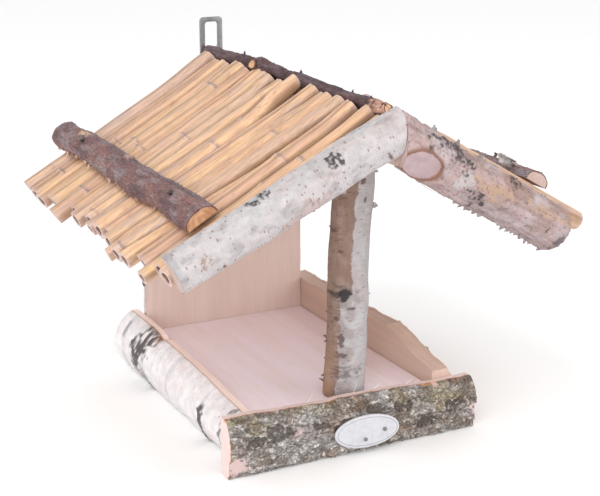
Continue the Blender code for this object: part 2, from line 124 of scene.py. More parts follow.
# the post
POST_WHITE = (0.76, 0.71, 0.715)
POST_TAN = (0.42, 0.27, 0.205)
POST_ORANGE = (0.62, 0.38, 0.24)
POST_PALE_TAN = (0.60, 0.45, 0.40)
POST_GREY = (0.50, 0.40, 0.375)
POST_RING = (0.20, 0.11, 0.09)
POST_HALO = (0.42, 0.36, 0.34)
POST_BAND = (0.16, 0.12, 0.12)
POST_BLOT = (0.17, 0.10, 0.09)
POST_TOP = (0.28, 0.12, 0.07)
POST_DARK_SCRAP = (0.33, 0.24, 0.21)
POST_PALE_SCRAP = (0.66, 0.58, 0.575)
# the side slabs and the back board
SLAB_RIM = (0.50, 0.29, 0.19)
SLAB_WHITE = (0.84, 0.80, 0.805)
SLAB_BAND = (0.50, 0.50, 0.51)
SLAB_BLACK = (0.075, 0.058, 0.058)
SLAB_ORANGE = (0.60, 0.33, 0.21)
SLAB_KNOT = (0.33, 0.16, 0.10)
OLD_GREY = (0.66, 0.60, 0.595)
OLD_BROWN = (0.44, 0.36, 0.33)
OLD_BLACK = (0.10, 0.08, 0.08)
TORN_BROWN = (0.27, 0.155, 0.105)
FOOT_BROWN = (0.30, 0.20, 0.16)
BACK_BAND = (0.46, 0.44, 0.44)
BACK_EDGE = (0.50, 0.28, 0.18)
SLIVER = (0.86, 0.74, 0.70)
# the front slab
CRUST_GREY = (0.46, 0.42, 0.39)
CRUST_BROWN = (0.30, 0.245, 0.205)
CRUST_PALE = (0.66, 0.64, 0.625)
LICHEN_OLIVE = (0.37, 0.31, 0.165)
LICHEN_WHITE = (0.68, 0.665, 0.655)
CRUST_RUST = (0.36, 0.23, 0.155)
# the dark of the bark's cracks together with painted shade in its low spots and hollows
CRUST_CRACK_SHADE = (0.065, 0.052, 0.045)
CRUST_FLAKED = (0.72, 0.545, 0.53)
CRUST_ORANGE = (0.60, 0.27, 0.11)
CRUST_EDGE = (0.60, 0.33, 0.20)
CRUST_RIM = (0.58, 0.27, 0.13)
FRONT_END = (0.84, 0.66, 0.62)
# the reeds
REED_WARM = (0.56, 0.385, 0.29)
REED_GOLD = (0.93, 0.66, 0.34)
REED_DULL = (0.55, 0.45, 0.43)
REED_STAIN = (0.36, 0.22, 0.15)
REED_SCAR = (0.80, 0.66, 0.50)
# painted shade for the stems' flanks, in the valleys between stems
REED_SIDE_SHADE = (0.22, 0.13, 0.08)
# painted shade in the groove along a stem
REED_GROOVE_SHADE = (0.24, 0.14, 0.085)
REED_WORN = (0.62, 0.49, 0.42)
REED_CUT = (0.74, 0.60, 0.54)
# painted shade inside the stems' hollow ends
REED_BORE_SHADE = (0.16, 0.095, 0.07)
REED_SPLINTER = (0.70, 0.55, 0.40)
# the label and nails
LABEL_WHITE = (0.86, 0.86, 0.88)
LABEL_LINE = (0.42, 0.42, 0.43)
NAIL_TONE = (0.5, 0.5, 0.5)


# --- Fields: repeatable noise and masks over arrays of points -------------------------------
CELL_PRIMES = (374761393, 668265263, 1442695041)
HASH_PRIME = 1274126177
LOW_32_BITS = 0xFFFFFFFF
LOW_16_BITS = 0xFFFF
OCTAVE_SHIFT = 17.3                    # keeps the octaves' cells from lining up


def lattice(cells, seed):
    """A repeatable value from 0 to 1 for each whole-number cell."""
    hashed = sum(cells[..., axis] * prime for axis, prime in enumerate(CELL_PRIMES))
    hashed = (hashed + seed * HASH_PRIME) & LOW_32_BITS
    hashed = ((hashed ^ (hashed >> 13)) * HASH_PRIME) & LOW_32_BITS
    return ((hashed ^ (hashed >> 16)) & LOW_16_BITS) / LOW_16_BITS


def noise(points, size, seed, octaves=3):
    """A smooth uneven field of about -1 to 1 with bumps of this size, at points (..., 3)."""
    total = 0.0
    gain = 1.0
    for octave in range(octaves):
        at = points / (np.asarray(size, float) / 2 ** octave) + OCTAVE_SHIFT * (octave + 1)
        cell = np.floor(at).astype(np.int64)
        part = at - cell
        part = part * part * (3 - 2 * part)
        value = 0.0
        for corner in itertools.product((0, 1), repeat=3):
            weight = np.prod(np.where(corner, part, 1 - part), axis=-1)
            value = value + weight * lattice(cell + np.array(corner), seed + octave)
        total = total + gain * (2 * value - 1)
        gain *= 0.5
    return total


def smooth(value, low, high):
    """0 up to low, 1 from high on, and an S-shaped rise between them."""
    share = np.clip((value - low) / (high - low), 0.0, 1.0)
    return share * share * (3 - 2 * share)


def blotches(grain, size, seed, low, high, octaves=3):
    """Soft-edged patches of noise: 0 where it is under low, 1 where it is over high."""
    return smooth(noise(grain, size, seed, octaves), low, high)


def mixed(first, second, mask):
    """Colours (..., 3) blended by a mask (...)."""
    mask = np.asarray(mask)[..., None]
    return np.asarray(first) * (1 - mask) + np.asarray(second) * mask


def patch(grid, at, size, seed, ragged):
    """1 inside a ragged patch on the bark: at and size are (along mm, across mm)."""
    away = np.hypot((grid.along - at[0]) / size[0], (grid.across - at[1]) / size[1])
    away = away + ragged * noise(grid.grain, 0.9 * min(size), seed)
    return 1 - smooth(away, 0.75, 1.05)


def bumps(seed, amount, wavelength):
    """A smooth uneven line: the sum of three sine waves with seeded phases."""
    rng = np.random.default_rng(seed)
    phases = rng.uniform(0, math.tau, 3)
    return lambda t: sum(amount / (n + 1) * np.sin(math.tau * t * (0.83 * n + 1) / wavelength + p)
                         for n, p in enumerate(phases))


# --- Building pieces ------------------------------------------------------------------------
FLAKE_POINTS = (7, 5)                  # along and across a torn scrap
LOWER_EDGE, UPPER_EDGE = False, True


class Grid:
    """Rings of points from one end of a log to the other, each ring closed.

    points is (rows, columns, 3). bark is 1 for the columns that carry bark and 0 on sawn
    faces. along and across are millimetres over the bark, from the first ring and from the
    first bark column. grain is millimetres in the log's own frame.
    """

    def __init__(self, points, bark, axes, pith):
        self.points = points
        self.bark = np.asarray(bark, float)
        axes = np.array([Vector(axis).normalized() for axis in axes])
        self.grain = (points - np.asarray(pith)) @ axes.T / MM
        self.along = np.abs(self.grain[..., 0] - self.grain[:1, :, 0].mean())
        steps = np.linalg.norm(np.diff(points, axis=1), axis=2) / MM
        across = np.concatenate([np.zeros((len(points), 1)), np.cumsum(steps, axis=1)], axis=1)
        first = int(np.argmax(self.bark > 0))
        self.across = across - across[:, first:first + 1]
        last = len(self.bark) - 1 - int(np.argmax(self.bark[::-1] > 0))
        self.width = self.across[:, last:last + 1]
        self.edge = np.minimum(self.across, self.width - self.across)
        self.row_share = np.linspace(0, 1, len(points))[:, None]

    def at(self, share, across):
        """The place on the bark at these shares of its length and of its mean width, in mm."""
        return share * self.along.max(), across * float(self.width.mean())

    def normals(self):
        """Outward unit normals."""
        across = np.roll(self.points, -1, 1) - np.roll(self.points, 1, 1)
        normals = np.cross(np.gradient(self.points, axis=0), across)
        normals /= np.linalg.norm(normals, axis=2, keepdims=True) + 1e-12
        outward = self.points - self.points.mean(1, keepdims=True)
        return normals if (normals * outward).sum() > 0 else -normals

    def swell(self, height, margin=1.5):
        """Raise the bark by height (metres), less towards the sawn edges within margin mm."""
        weight = self.bark * smooth(self.edge, -0.6, margin) if self.bark.min() == 0 else 1.0
        self.points = self.points + self.normals() * (height * weight)[..., None]


class Piece:
    """Collects meshes that make one visible piece, then builds it and registers it."""

    def __init__(self, name):
        self.name = name
        self.parts = []
        self.count = 0

    def add(self, points, faces, tones, grains, slots):
        """One mesh with a tone (4 numbers) and a grain (3) for each point, a slot for each face."""
        shift = self.count
        faces = [tuple(index + shift for index in face) for face in faces]
        self.parts.append((points.reshape(-1, 3), faces, tones.reshape(-1, 4),
                           grains.reshape(-1, 3), list(slots)))
        self.count += len(self.parts[-1][0])

    def add_grid(self, grid, tone, marks, rim=ORANGE_BARK, rim_depth=0.7, cap_tone=WOOD):
        """Rings joined into a closed body. Slot 0 is bark, slot 1 is sawn wood."""
        rows, columns = grid.points.shape[:2]
        points, grains = [grid.points], [grid.grain]
        tones = [with_alpha(tone, marks)]
        ring_slot = [0 if a and b else 1 for a, b in zip(grid.bark, np.roll(grid.bark, -1))]
        faces, slots = ring_faces(rows, columns), ring_slot * (rows - 1)
        base = rows * columns
        for end in (0, rows - 1):
            rim_points = grid.points[end]
            centre = rim_points.mean(0)
            previous = [end * columns + i for i in range(columns)]
            inner = centre - rim_points
            reach = np.linalg.norm(inner, axis=1, keepdims=True) + 1e-9
            for depth, colour in ((0.2, rim), (rim_depth, rim), (rim_depth + 0.2, cap_tone)):
                inset = np.minimum(0.03 + grid.bark[:, None] * depth, 0.8 * reach / MM) * MM
                ring = rim_points + inner / reach * inset
                ring_tone = mixed(np.broadcast_to(cap_tone, ring.shape), colour, grid.bark)
                points.append(ring)
                grains.append(grid.grain[end])
                tones.append(with_alpha(ring_tone, 0.0))
                now = [base + i for i in range(columns)]
                for i in range(columns):
                    j = (i + 1) % columns
                    faces.append((previous[i], previous[j], now[j], now[i]))
                    slots.append(0 if colour is rim and ring_slot[i] == 0 else 1)
                previous = now
                base += columns
            points.append(centre[None])
            grains.append(grid.grain[end].mean(0)[None])
            tones.append(with_alpha(np.array(cap_tone)[None], 0.0))
            for i in range(columns):
                faces.append((previous[i], previous[(i + 1) % columns], base))
                slots.append(1)
            base += 1
        stacked = [np.concatenate([part.reshape(-1, part.shape[-1]) for part in parts])
                   for parts in (points, tones, grains)]
        self.add(stacked[0], faces, stacked[1], stacked[2], slots)

    def add_flake(self, root, outward, sideways, length, width, curl, tone, seed, thick=0.16):
        """A thin torn scrap of bark, rooted at a point, that bends away from its start."""
        rng = np.random.default_rng(seed)
        outward = np.array(Vector(outward).normalized())
        sideways = np.array(Vector(sideways).normalized())
        lift = np.array(Vector(np.cross(outward, sideways)).normalized())
        rows, columns = FLAKE_POINTS
        top = []
        angle = 0.0
        centre = np.asarray(root) - 0.25 * length * outward
        for row in range(rows):
            share = row / (rows - 1)
            half = 0.5 * width * (1 - 0.75 * share ** 2) * rng.uniform(0.75, 1.15)
            skew = width * rng.uniform(-0.12, 0.12)
            for column in range(columns):
                offset = half * (2 * column / (columns - 1) - 1) + skew
                top.append(centre + offset * sideways + rng.uniform(-0.04, 0.04) * width * lift)
            angle += curl / (rows - 1)
            centre = centre + 1.25 * length / (rows - 1) * (
                math.cos(angle) * outward + math.sin(angle) * lift)
        top = np.array(top).reshape(rows, columns, 3)
        below = top - lift * thick * MM
        points = np.concatenate([top.reshape(-1, 3), below.reshape(-1, 3)])
        faces = sheet_faces(rows, columns)
        tones = np.broadcast_to(np.array((*tone, 0.35)), (len(points), 4)).copy()
        tones[:, :3] *= rng.uniform(0.85, 1.1)
        self.add(points, faces, tones, points / MM, [0] * len(faces))

    def build(self, materials, nodes, slot, sharp=50, shade=(1.0, 1.0, 1.0)):
        """Join the meshes into one object. shade multiplies every tone's red, green and blue."""
        points = np.concatenate([part[0] for part in self.parts])
        faces = list(itertools.chain.from_iterable(part[1] for part in self.parts))
        mesh = bpy.data.meshes.new(self.name)
        mesh.from_pydata(points.tolist(), [], faces)
        mesh.polygons.foreach_set("material_index",
                                  list(itertools.chain.from_iterable(p[4] for p in self.parts)))
        tone = mesh.color_attributes.new("tone", "FLOAT_COLOR", "POINT")
        tones = np.concatenate([p[2] for p in self.parts]) * (*shade, 1.0)
        tone.data.foreach_set("color", tones.astype(np.float32).ravel())
        grain = mesh.attributes.new("grain", "FLOAT_VECTOR", "POINT")
        grains = np.concatenate([p[3] for p in self.parts])
        grain.data.foreach_set("vector", grains.astype(np.float32).ravel())
        for mat in materials:
            mesh.materials.append(mat)
        tidy = bmesh.new()
        tidy.from_mesh(mesh)
        bmesh.ops.recalc_face_normals(tidy, faces=tidy.faces)
        tidy.to_mesh(mesh)
        tidy.free()
        return register(self.name, mesh, nodes, sharp)


def register(name, mesh, nodes, sharp):
    """Put a mesh in the scene as a piece of the body root that stands for these CAD nodes."""
    mesh.shade_smooth()
    mesh.set_sharp_from_angle(angle=math.radians(sharp))
    obj = bpy.data.objects.new(name, mesh)
    bpy.context.scene.collection.objects.link(obj)
    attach(obj, "root")
    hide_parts(*nodes)
    return obj


def with_alpha(tone, alpha):
    """Tones (..., 3) with the amount of birch marks as a fourth number."""
    alpha = np.broadcast_to(np.asarray(alpha, float), tone.shape[:-1])
    return np.concatenate([np.clip(tone, 0.0, 1.0), alpha[..., None]], axis=-1)


def ring_faces(rows, columns):
    """Faces between closed rings of points that follow each other."""
    faces = []
    for row in range(rows - 1):
        for i in range(columns):
            j = (i + 1) % columns
            low = row * columns
            faces.append((low + i, low + j, low + columns + j, low + columns + i))
    return faces


def with_ends(rings):
    """The values of all rings in one list, then the means of the first and of the last ring."""
    return np.concatenate([rings.reshape(-1, 3), [rings[0].mean(0)], [rings[-1].mean(0)]])


def closed_faces(rows, columns):
    """Faces of rings whose ends are closed by fans, for points in the order of with_ends."""
    faces = ring_faces(rows, columns)
    first_middle = rows * columns
    for i in range(columns):
        j = (i + 1) % columns
        faces.append((i, j, first_middle))
        faces.append((first_middle - columns + i, first_middle - columns + j, first_middle + 1))
    return faces


def circle_turns(columns):
    """Angles evenly round a circle."""
    return np.linspace(0, math.tau, columns, endpoint=False)


def sheet_faces(rows, columns):
    """Faces of a thin closed sheet: a top grid, the same grid below it, and its rim."""
    faces = []
    under = rows * columns
    for row in range(rows - 1):
        for column in range(columns - 1):
            a = row * columns + column
            quad = (a, a + 1, a + columns + 1, a + columns)
            faces.append(quad)
            faces.append(tuple(under + index for index in reversed(quad)))
    rim = [row * columns for row in range(rows)]
    rim += [(rows - 1) * columns + column for column in range(1, columns)]
    rim += [row * columns + columns - 1 for row in range(rows - 2, -1, -1)]
    rim += [column for column in range(columns - 2, 0, -1)]
    for first, second in zip(rim, rim[1:] + rim[:1]):
        faces.append((first, second, under + second, under + first))
    return faces


# --- Materials ------------------------------------------------------------------------------
class Shader:
    """A Principled material that reads the tone and grain attributes."""

    def __init__(self, name, roughness, metallic=0.0, specular=0.35):
        self.material = bpy.data.materials.new(name)
        self.material.use_nodes = True
        self.tree = self.material.node_tree
        self.surface = self.tree.nodes["Principled BSDF"]
        self.surface.inputs["Roughness"].default_value = roughness
        self.surface.inputs["Metallic"].default_value = metallic
        self.surface.inputs["Specular IOR Level"].default_value = specular
        self.tone = self.add("Attribute", {"attribute_name": "tone"})
        self.grain = self.add("Attribute", {"attribute_name": "grain"}).outputs["Vector"]

    def add(self, kind, settings=None, **inputs):
        """A new node with these properties, its inputs set or linked by name."""
        node = self.tree.nodes.new("ShaderNode" + kind)
        for key, value in (settings or {}).items():
            setattr(node, key, value)
        for key, value in inputs.items():
            self.put(node.inputs[key], value)
        return node

    def put(self, socket, value):
        """Link another node's output to a socket, or set the socket's own value."""
        if isinstance(value, bpy.types.NodeSocket):
            self.tree.links.new(value, socket)
        else:
            socket.default_value = value

    def noise(self, stretch, detail=3.0, rough=0.55, shift=0.0):
        """Noise with bumps of these sizes in mm, along x, y and z of the grain."""
        scale = tuple(1.0 / size for size in stretch)
        place = self.add("Mapping", Vector=self.grain, Scale=scale, Location=(shift, shift, shift))
        found = self.add("TexNoise", Vector=place.outputs[0], Scale=1.0, Detail=detail,
                         Roughness=rough)
        return found.outputs["Fac"]

    def math(self, operation, first, second=0.0):
        """The output of a Math node."""
        node = self.add("Math", {"operation": operation})
        self.put(node.inputs[0], first)
        self.put(node.inputs[1], second)
        return node.outputs[0]

    def ramp(self, value, low, high, start=0.0, end=1.0):
        """start up to low, end from high on, and a smooth step between them."""
        found = self.add("MapRange", {"interpolation_type": "SMOOTHSTEP"}, Value=value)
        for index, number in enumerate((low, high, start, end), 1):
            found.inputs[index].default_value = number
        return found.outputs[0]

    def mix(self, mode, share, first, second):
        """Two colours, each an output or three numbers, mixed by share."""
        node = self.add("Mix", {"data_type": "RGBA", "blend_type": mode})
        self.put(node.inputs[0], share)
        for index, colour in ((6, first), (7, second)):       # the sockets of its colour inputs
            fixed = not isinstance(colour, bpy.types.NodeSocket)
            self.put(node.inputs[index], (*colour, 1) if fixed else colour)
        return node.outputs[2]

    def grey(self, value):
        """A grey colour from one number."""
        return self.add("CombineColor", Red=value, Green=value, Blue=value).outputs[0]

    def finish(self, colour, height, distance, roughness=None, strength=0.6):
        """Link the colour, the bump (its distance in metres) and the roughness if there is one."""
        self.tree.links.new(colour, self.surface.inputs["Base Color"])
        if roughness is not None:
            self.tree.links.new(roughness, self.surface.inputs["Roughness"])
        bump = self.add("Bump", Height=height, Distance=distance, Strength=strength)
        self.tree.links.new(bump.outputs[0], self.surface.inputs["Normal"])
        return self.material


def birch_material():
    """White birch bark: mottling, papery lines round the trunk, dark lenticels where tone says."""
    make = Shader("birch_bark", 0.62)
    mottle = make.ramp(make.noise((6, 4, 4)), 0.3, 0.7, 0.90, 1.06)
    papery = make.ramp(make.noise((0.35, 3.5, 3.5), shift=3.0), 0.35, 0.65, 0.93, 1.05)
    colour = make.mix("MULTIPLY", 1.0, make.tone.outputs["Color"],
                      make.grey(make.math("MULTIPLY", mottle, papery)))
    place = make.add("Mapping", Vector=make.grain, Scale=(0.62, 0.26, 0.26))
    cells = make.add("TexVoronoi", Vector=place.outputs[0], Scale=1.0, Randomness=1.0)
    chosen = make.add("SeparateColor", Color=cells.outputs["Color"])
    dash = make.math("MULTIPLY", make.ramp(cells.outputs["Distance"], 0.11, 0.22, 1.0, 0.0),
                     make.ramp(chosen.outputs["Red"], 0.38, 0.42))
    fine_place = make.add("Mapping", Vector=make.grain, Scale=(1.5, 0.9, 0.9))
    fine = make.add("TexVoronoi", Vector=fine_place.outputs[0], Scale=1.0)
    pick = make.add("SeparateColor", Color=fine.outputs["Color"])
    dot = make.math("MULTIPLY", make.ramp(fine.outputs["Distance"], 0.10, 0.24, 1.0, 0.0),
                    make.ramp(pick.outputs["Green"], 0.62, 0.66))
    marks = make.math("MAXIMUM", dash, make.math("MULTIPLY", dot, 0.75))
    marks = make.math("MULTIPLY", marks, make.tone.outputs["Alpha"])
    dark = make.mix("MIX", chosen.outputs["Blue"], (0.10, 0.055, 0.05), (0.30, 0.13, 0.11))
    colour = make.mix("MIX", make.math("MULTIPLY", marks, 0.85), colour, dark)
    height = make.math("SUBTRACT", make.math("ADD", papery, make.noise((1.2, 1.5, 1.5))), marks)
    return make.finish(colour, height, 0.00025)


def rough_material():
    """Old flaking bark with lichen: crumbly at every scale, quite matt."""
    make = Shader("rough_lichen_bark", 0.92, specular=0.2)
    crumb = make.noise((1.1, 0.9, 0.9), detail=5.0, rough=0.7)
    grit = make.noise((0.35, 0.35, 0.35), detail=2.0, shift=5.0)
    shade = make.math("MULTIPLY", make.ramp(crumb, 0.3, 0.7, 0.50, 1.5),
                      make.ramp(grit, 0.3, 0.7, 0.8, 1.22))
    calm = make.mix("MIX", make.tone.outputs["Alpha"], make.grey(shade), (1.0, 1.0, 1.0))
    colour = make.mix("MULTIPLY", 1.0, make.tone.outputs["Color"], calm)
    return make.finish(colour, make.math("ADD", crumb, grit), 0.0007, strength=0.8)


def twig_material():
    """Dark twig bark: fine wrinkles along the branch and pale specks."""
    make = Shader("dark_twig_bark", 0.72)
    wrinkle = make.noise((3.0, 0.6, 0.6), detail=4.0)
    crumb = make.noise((0.5, 0.5, 0.5), detail=3.0, rough=0.7, shift=2.0)
    shade = make.math("MULTIPLY", make.ramp(wrinkle, 0.3, 0.7, 0.65, 1.4),
                      make.ramp(crumb, 0.3, 0.7, 0.7, 1.35))
    colour = make.mix("MULTIPLY", 1.0, make.tone.outputs["Color"], make.grey(shade))
    place = make.add("Mapping", Vector=make.grain, Scale=(0.9, 1.3, 1.3))
    cells = make.add("TexVoronoi", Vector=place.outputs[0], Scale=1.0)
    pick = make.add("SeparateColor", Color=cells.outputs["Color"])
    speck = make.math("MULTIPLY", make.ramp(cells.outputs["Distance"], 0.12, 0.3, 1.0, 0.0),
                      make.ramp(pick.outputs["Red"], 0.30, 0.40))
    speck = make.math("MULTIPLY", make.math("MULTIPLY", speck, make.tone.outputs["Alpha"]), 0.7)
    colour = make.mix("MIX", speck, colour, TWIG_TAN)
    height = make.math("ADD", make.math("ADD", wrinkle, crumb), speck)
    return make.finish(colour, height, 0.0005, strength=0.7)


def wood_material(name, base, late, streak=1.0):
    """Sawn wood: growth rings round the pith, streaks and fine fibres along the grain."""
    make = Shader(name, 0.6, specular=0.3)
    split = make.add("SeparateXYZ", Vector=make.grain)
    across = make.math("MULTIPLY", split.outputs["Y"], split.outputs["Y"])
    across = make.math("ADD", across, make.math("MULTIPLY", split.outputs["Z"], split.outputs["Z"]))
    radius = make.math("SQRT", across)
    wander = make.math("MULTIPLY", make.noise((50, 8, 8), detail=2.0), 5.0)
    rings = make.math("SINE", make.math("MULTIPLY", make.math("ADD", radius, wander), 1.9))
    rings = make.ramp(rings, -0.6, 1.0, 0.0, 0.22 * streak)
    bands = make.ramp(make.noise((120, 9, 9), detail=2.0, shift=4.0), 0.3, 0.75, 0.0, 0.6 * streak)
    fibres = make.ramp(make.noise((14, 0.4, 0.4), detail=3.0, shift=9.0), 0.3, 0.7, 0.96, 1.03)
    colour = make.mix("MIX", make.math("ADD", rings, bands), base, late)
    colour = make.mix("MULTIPLY", 1.0, colour, make.grey(fibres))
    saw = make.noise((1.1, 30, 30), detail=1.0, shift=6.0)
    height = make.math("ADD", fibres, make.math("MULTIPLY", saw, 0.25))
    return make.finish(colour, height, 0.00015, strength=0.5)


def reed_material():
    """Dry reed stems: fine stripes along the stem and a faint waxy gloss."""
    make = Shader("reed_straw", 0.48, specular=0.45)
    stripe = make.ramp(make.noise((35, 0.45, 0.45), detail=3.0), 0.3, 0.7, 0.84, 1.12)
    blotch = make.ramp(make.noise((9, 1.6, 1.6), detail=3.0, shift=7.0), 0.3, 0.75, 1.06, 0.86)
    colour = make.mix("MULTIPLY", 1.0, make.tone.outputs["Color"],
                      make.grey(make.math("MULTIPLY", stripe, blotch)))
    rough = make.ramp(blotch, 0.86, 1.06, 0.62, 0.42)
    return make.finish(colour, stripe, 0.0002, roughness=rough, strength=0.5)


def steel_material(name, base):
    """Dull plated steel with faint rolled streaks and handling marks."""
    make = Shader(name, 0.42, metallic=0.9, specular=0.5)
    cloud = make.ramp(make.noise((7, 4, 4)), 0.3, 0.7, 0.85, 1.1)
    streak = make.ramp(make.noise((12, 0.2, 0.2), shift=2.0), 0.3, 0.7, 0.94, 1.05)
    colour = make.mix("MULTIPLY", 1.0, base,
                      make.grey(make.math("MULTIPLY", cloud, streak)))
    rough = make.ramp(cloud, 0.85, 1.1, 0.55, 0.38)
    return make.finish(colour, streak, 0.00005, roughness=rough, strength=0.4)


def label_material():
    """White coated metal with faint clouds."""
    make = Shader("white_label", 0.42)
    cloud = make.ramp(make.noise((2.5, 2.5, 2.5), detail=4.0), 0.35, 0.7, 1.0, 0.90)
    colour = make.mix("MULTIPLY", 1.0, make.tone.outputs["Color"], make.grey(cloud))
    return make.finish(colour, make.noise((0.6, 0.6, 0.6)), 0.00006, strength=0.4)


BIRCH = birch_material()
ROUGH = rough_material()
TWIG_BARK = twig_material()
SAWN = wood_material("sawn_birch", (0.95, 0.82, 0.79), (0.88, 0.68, 0.60))
SAWN_PINK = wood_material("sawn_birch_pink", (0.74, 0.61, 0.60), (0.72, 0.54, 0.49), streak=0.8)
SAWN_TAN = wood_material("sawn_birch_tan", (0.61, 0.45, 0.38), (0.52, 0.37, 0.29))
SAWN_BACK = wood_material("sawn_birch_back", (0.68, 0.54, 0.49), (0.60, 0.44, 0.37), streak=0.6)
SAWN_FLOOR = wood_material("sawn_birch_floor", (0.97, 0.88, 0.97), (0.92, 0.80, 0.81), streak=1.2)
END_GRAIN = wood_material("end_grain", (0.50, 0.38, 0.35), (0.42, 0.28, 0.22), streak=0.8)
ORANGE_END = wood_material("orange_end_grain", (0.66, 0.40, 0.24), (0.42, 0.22, 0.12), streak=1.6)
REED = reed_material()
STEEL = steel_material("zinc_plated_steel", (0.27, 0.27, 0.275))
DARK_STEEL = steel_material("weathered_steel", (0.085, 0.07, 0.065))
LABEL = label_material()


# --- Reading the frame ----------------------------------------------------------------------
def cad_points(node):
    """A CAD node's corners as an array (count, 3)."""
    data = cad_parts[node].data
    points = np.zeros(len(data.vertices) * 3, np.float32)
    data.vertices.foreach_get("co", points)
    return points.reshape(-1, 3).astype(float)


def crest(node, axis):
    """The top edge of a slab as a function of the place along X (0) or Y (1)."""
    points = cad_points(node)
    low, high = points[:, 2].min(), points[:, 2].max()
    points = points[points[:, 2] > low + 0.68 * (high - low)]
    places = np.round(points[:, axis], 4)
    stations = np.unique(places)
    tops = [points[places == place, 2].max() for place in stations]
    return lambda at: np.interp(at, stations, tops)


def lean_box(node):
    """A log that lies in an upright X-Z plane: its centre line, width and depth."""
    points = cad_points(node)
    best = None
    for degrees in np.arange(-45, 45, 0.1):
        turn = math.radians(degrees)
        along = points @ (math.cos(turn), 0, math.sin(turn))
        across = points @ (-math.sin(turn), 0, math.cos(turn))
        if best is None or np.ptp(across) < best[0]:
            best = (np.ptp(across), turn, along.min(), along.max(), across.mean(), across)
    width, turn, low, high, _, across = best
    direction = np.array((math.cos(turn), 0, math.sin(turn)))
    up = np.array((-math.sin(turn), 0, math.cos(turn)))
    middle = 0.5 * (across.min() + across.max()) * up
    return {"low": low * direction + middle, "high": high * direction + middle, "up": up,
            "width": width, "back": points[:, 1].max(), "depth": np.ptp(points[:, 1])}


def roof_side(side):
    """Pitch and apex of one roof board's top face, and the board's reach."""
    points = cad_points("left_roof_board" if side == LEFT else "right_roof_board")
    apex = points[np.argmax(points[:, 2])]
    corner = points[np.argmax(side * points[:, 0])]
    run, drop = abs(corner[0] - apex[0]), apex[2] - corner[2]
    return {"pitch": math.atan2(drop, run), "apex_z": apex[2],
            "front": points[:, 1].min(), "back": points[:, 1].max()}


ROOF = {side: roof_side(side) for side in (LEFT, RIGHT)}
ROOF_THICKNESS = 4.8 * MM              # with the gap under the boards


def on_roof(side, down, height, y):
    """Points down the slope, height over the roof board's top face."""
    pitch = ROOF[side]["pitch"]
    x = side * (down * math.cos(pitch) + height * math.sin(pitch))
    z = ROOF[side]["apex_z"] - down * math.sin(pitch) + height * math.cos(pitch)
    return np.stack(np.broadcast_arrays(x, y, z), axis=-1)


def roof_step(side, down, height=0.0):
    """The direction down a slope and out of it."""
    return on_roof(side, down, height, 0.0) - on_roof(side, 0.0, 0.0, 0.0)


def roof_underside(x):
    """Height of the roof boards' lower faces over a place."""
    pitch = ROOF[LEFT]["pitch"]
    return ROOF[LEFT]["apex_z"] - np.abs(x) * math.tan(pitch) - ROOF_THICKNESS / math.cos(pitch)


def reach_on_roof(side, node):
    """How far a CAD node reaches down the slope and over the boards: (near, far), (low, high)."""
    points = cad_points(node)
    pitch = ROOF[side]["pitch"]
    x, drop = side * points[:, 0], ROOF[side]["apex_z"] - points[:, 2]
    down = x * math.cos(pitch) + drop * math.sin(pitch)
    height = x * math.sin(pitch) - drop * math.cos(pitch)
    return (down.min(), down.max()), (height.min(), height.max())


# --- Half logs: the barges and the battens --------------------------------------------------
def half_section(bark_columns, flat_columns, fullness=0.72):
    """(across -1 to 1, out 0 to 1) round a half log, from its lower edge over the bark."""
    turns = np.linspace(0, math.pi, bark_columns)
    across = -np.cos(turns)
    out = np.sin(turns).clip(0) ** fullness
    flat = np.linspace(1, -1, flat_columns + 2)[1:-1]
    bark = np.concatenate([np.ones(bark_columns), np.zeros(flat_columns)])
    return np.concatenate([across, flat]), np.concatenate([out, 0 * flat]), bark


def barge_grid(node, side, taper, bend_seed):
    """A barge from the upright joint at the apex down to its outer end.

    taper is the width at either end as a share of the CAD log's width.
    """
    rows, bark_columns, flat_columns = 250, 76, 10
    box = lean_box(node)
    low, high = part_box(node)
    top, end = (box["high"], box["low"]) if side == LEFT else (box["low"], box["high"])
    direction = (end - top) / np.linalg.norm(end - top)
    joint = high.x if side == LEFT else low.x
    across, out, bark = half_section(bark_columns, flat_columns)
    share = np.linspace(0, 1, rows)[:, None]
    half = 0.5 * box["width"] * (taper[0] + (taper[1] - taper[0]) * share)
    offset = across * half
    start = (joint - top[0] - box["up"][0] * offset) / direction[0]
    length = np.linalg.norm(end - top)
    distance = start + (length - start) * share
    bend = bumps(bend_seed, 0.5 * MM, 0.09)(distance) * (1 - share)
    depth = 0.97 * box["depth"] * (1 + 0.04 * noise(distance[..., None] / MM * (1, 0, 0), 25, 3))
    points = (top + distance[..., None] * direction + (offset + bend)[..., None] * box["up"]
              + np.array((0, box["back"], 0)) - (out * depth)[..., None] * (0, 1, 0))
    pith = top + np.array((0, box["back"], 0))
    grid = Grid(points, bark, (direction, box["up"], (0, -1, 0)), pith)
    return grid, direction, box["up"]


def birch_relief(grid, seed, amount=1.0):
    """Gentle swelling, papery steps and fine grit, in metres."""
    swelling = 0.35 * noise(grid.grain, (14, 8, 8), seed, 2)
    paper = 0.10 * blotches(grid.grain, (4, 9, 9), seed + 1, 0.0, 0.12)
    grit = 0.05 * noise(grid.grain, (0.9, 1.4, 1.4), seed + 2, 2)
    return (swelling + paper + grit) * amount * MM


def scab(grid, seed, mask):
    """Cracked black growth: rough, raised bark inside a mask, in metres."""
    return mask * (0.35 + 0.55 * np.abs(noise(grid.grain, (1.3, 1.3, 1.3), seed, 3))) * MM


